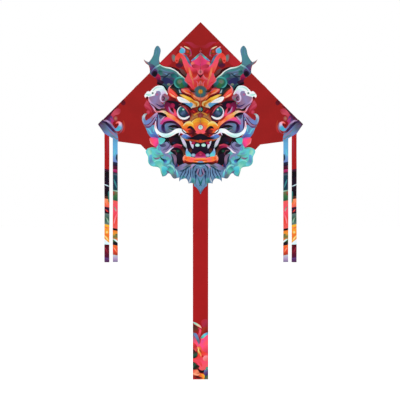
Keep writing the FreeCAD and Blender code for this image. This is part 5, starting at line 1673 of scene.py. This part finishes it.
def makeEyelets():
    for number in (1, 2, 3):
        low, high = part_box(f"tow_eyelet_{number}")
        centre = tuple((low + high) / 2 / mm)
        eyelet = lathed(f"towEyelet{number}", eyeletProfile, centre, (1, 0, 0), 40, "brass")
        dressed(eyelet, (f"tow_eyelet_{number}",), "eyelet_brass", ("keel",))


hoseSize = {"bore": 2.56, "radius": 3.7, "rib": 0.3, "ribs": 5, "from": 9.1, "to": 40.0}


def makeHose(word):
    side, h = sides[word], hoseSize
    span = h["to"] - h["from"]
    width = (span - 2.4) / h["ribs"]
    outer = []
    for k in range(h["ribs"]):
        start = h["from"] + 1.2 + (span - 2.4) * k / h["ribs"]
        outer += [(start + 0.3, h["radius"] + h["rib"]), (start + width * 0.5, h["radius"] + h["rib"]),
                  (start + width * 0.62, h["radius"]), (start + width * 0.9, h["radius"])]
    farEnd = [(h["to"], h["radius"] - 0.5), (h["to"], h["bore"] + 0.4)]
    bore = [(h["to"] - 0.4 - (span - 0.8) * k / 12, h["bore"]) for k in range(13)]
    nearEnd = [(h["from"], h["bore"] + 0.4), (h["from"], h["radius"] - 0.4)]
    profile = [(x * side, r) for x, r in outer + farEnd + bore + nearEnd]
    hose = lathed(f"spreaderHose{word.title()}", profile, (0, 10, 0), (1, 0, 0), 28, "hose")
    dressed(hose, (f"spreader_hose_{word}",), "hose",
            ("frame", f"wing_{word}", (side * 9.5, 10, 0), (side * 18.5, 10, 0)))


makeKeel()
makeEyelets()
for word in sides:
    makeHose(word)
print("keel, eyelets and hoses made")


# the CAD parts that are already right take their finishes
cadFinishes = {"rod": ("spine_rod", "leading_edge_rod", "spreader_rod"), "vinyl": ("spine_cap", "rod_cap"),
               "fitting": ("centre_fitting", "edge_fitting"), "batten": ("horn_batten",)}
for name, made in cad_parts.items():
    for finish, starts in cadFinishes.items():
        if name.startswith(starts):
            made.data.materials.clear()
            made.data.materials.append(finishes[finish])
print("CAD parts finished")


# stage: pale floor, soft light from all round and the camera, in metres
stageSize = {"floor": -1.8, "radius": 60.0, "glow": 0.12}
# each lamp's place, the point it shines at, its width and its power
lights = {"keyLight": ((-4.0, -6.0, 3.5), (0, 0, -0.6), 4.0, 80),
          "fillLight": ((4.5, -6.0, 1.0), (0, 0, -0.6), 4.0, 30),
          "backLight": ((0.0, 2.6, 3.4), (0, 0, -0.3), 2.5, 45)}


def makeStage():
    s = stageSize
    bpy.ops.object.select_all(action="DESELECT")
    bpy.ops.mesh.primitive_circle_add(vertices=96, radius=s["radius"], fill_type="NGON",
                                      location=(0, 0, s["floor"]))
    bpy.ops.object.transform_apply(location=True)
    floor = bpy.context.object
    floor.name = floor.data.name = "studioFloor"
    paper = Finish("white paper", Roughness=0.95, Specular_IOR_Level=0.1, Emission_Color=(1, 1, 1, 1),
                   Emission_Strength=s["glow"])
    cloud = paper.noise(paper.objectPlace(), 3, 2)
    paper.use("Base Color", paper.mixed(cloud, (0.91, 0.91, 0.91, 1), (0.94, 0.94, 0.94, 1)))
    floor.data.materials.append(paper.material)


def makeLight(name, place, target, size, power):
    data = bpy.data.lights.new(name, "AREA")
    data.shape, data.size, data.energy = "SQUARE", size, power
    lamp = added(name, data)
    lamp.location = place
    lamp.rotation_euler = (Vector(target) - Vector(place)).to_track_quat("-Z", "Y").to_euler()


cameraSize = {"distance": 10.0, "centre": (-0.003, 0, -0.662), "width": 2.342}


def makeCamera():
    c = cameraSize
    data = bpy.data.cameras.new("camera")
    data.lens = data.sensor_width * c["distance"] / c["width"]
    data.clip_end = 100
    camera = added("camera", data)
    camera.location = Vector(c["centre"]) - Vector((0, c["distance"], 0))
    camera.rotation_euler = (math.pi / 2, 0, 0)
    bpy.context.scene.camera = camera


makeStage()
makeCamera()
for name, lamp in lights.items():
    makeLight(name, *lamp)
world = bpy.data.worlds.new("studio")
world.use_nodes = True
daylight = world.node_tree.nodes["Background"].inputs
daylight["Color"].default_value = (1, 1, 1, 1)
daylight["Strength"].default_value = 1.0
bpy.context.scene.world = world
bpy.context.scene.view_settings.view_transform = "Standard"
print("stage ready")
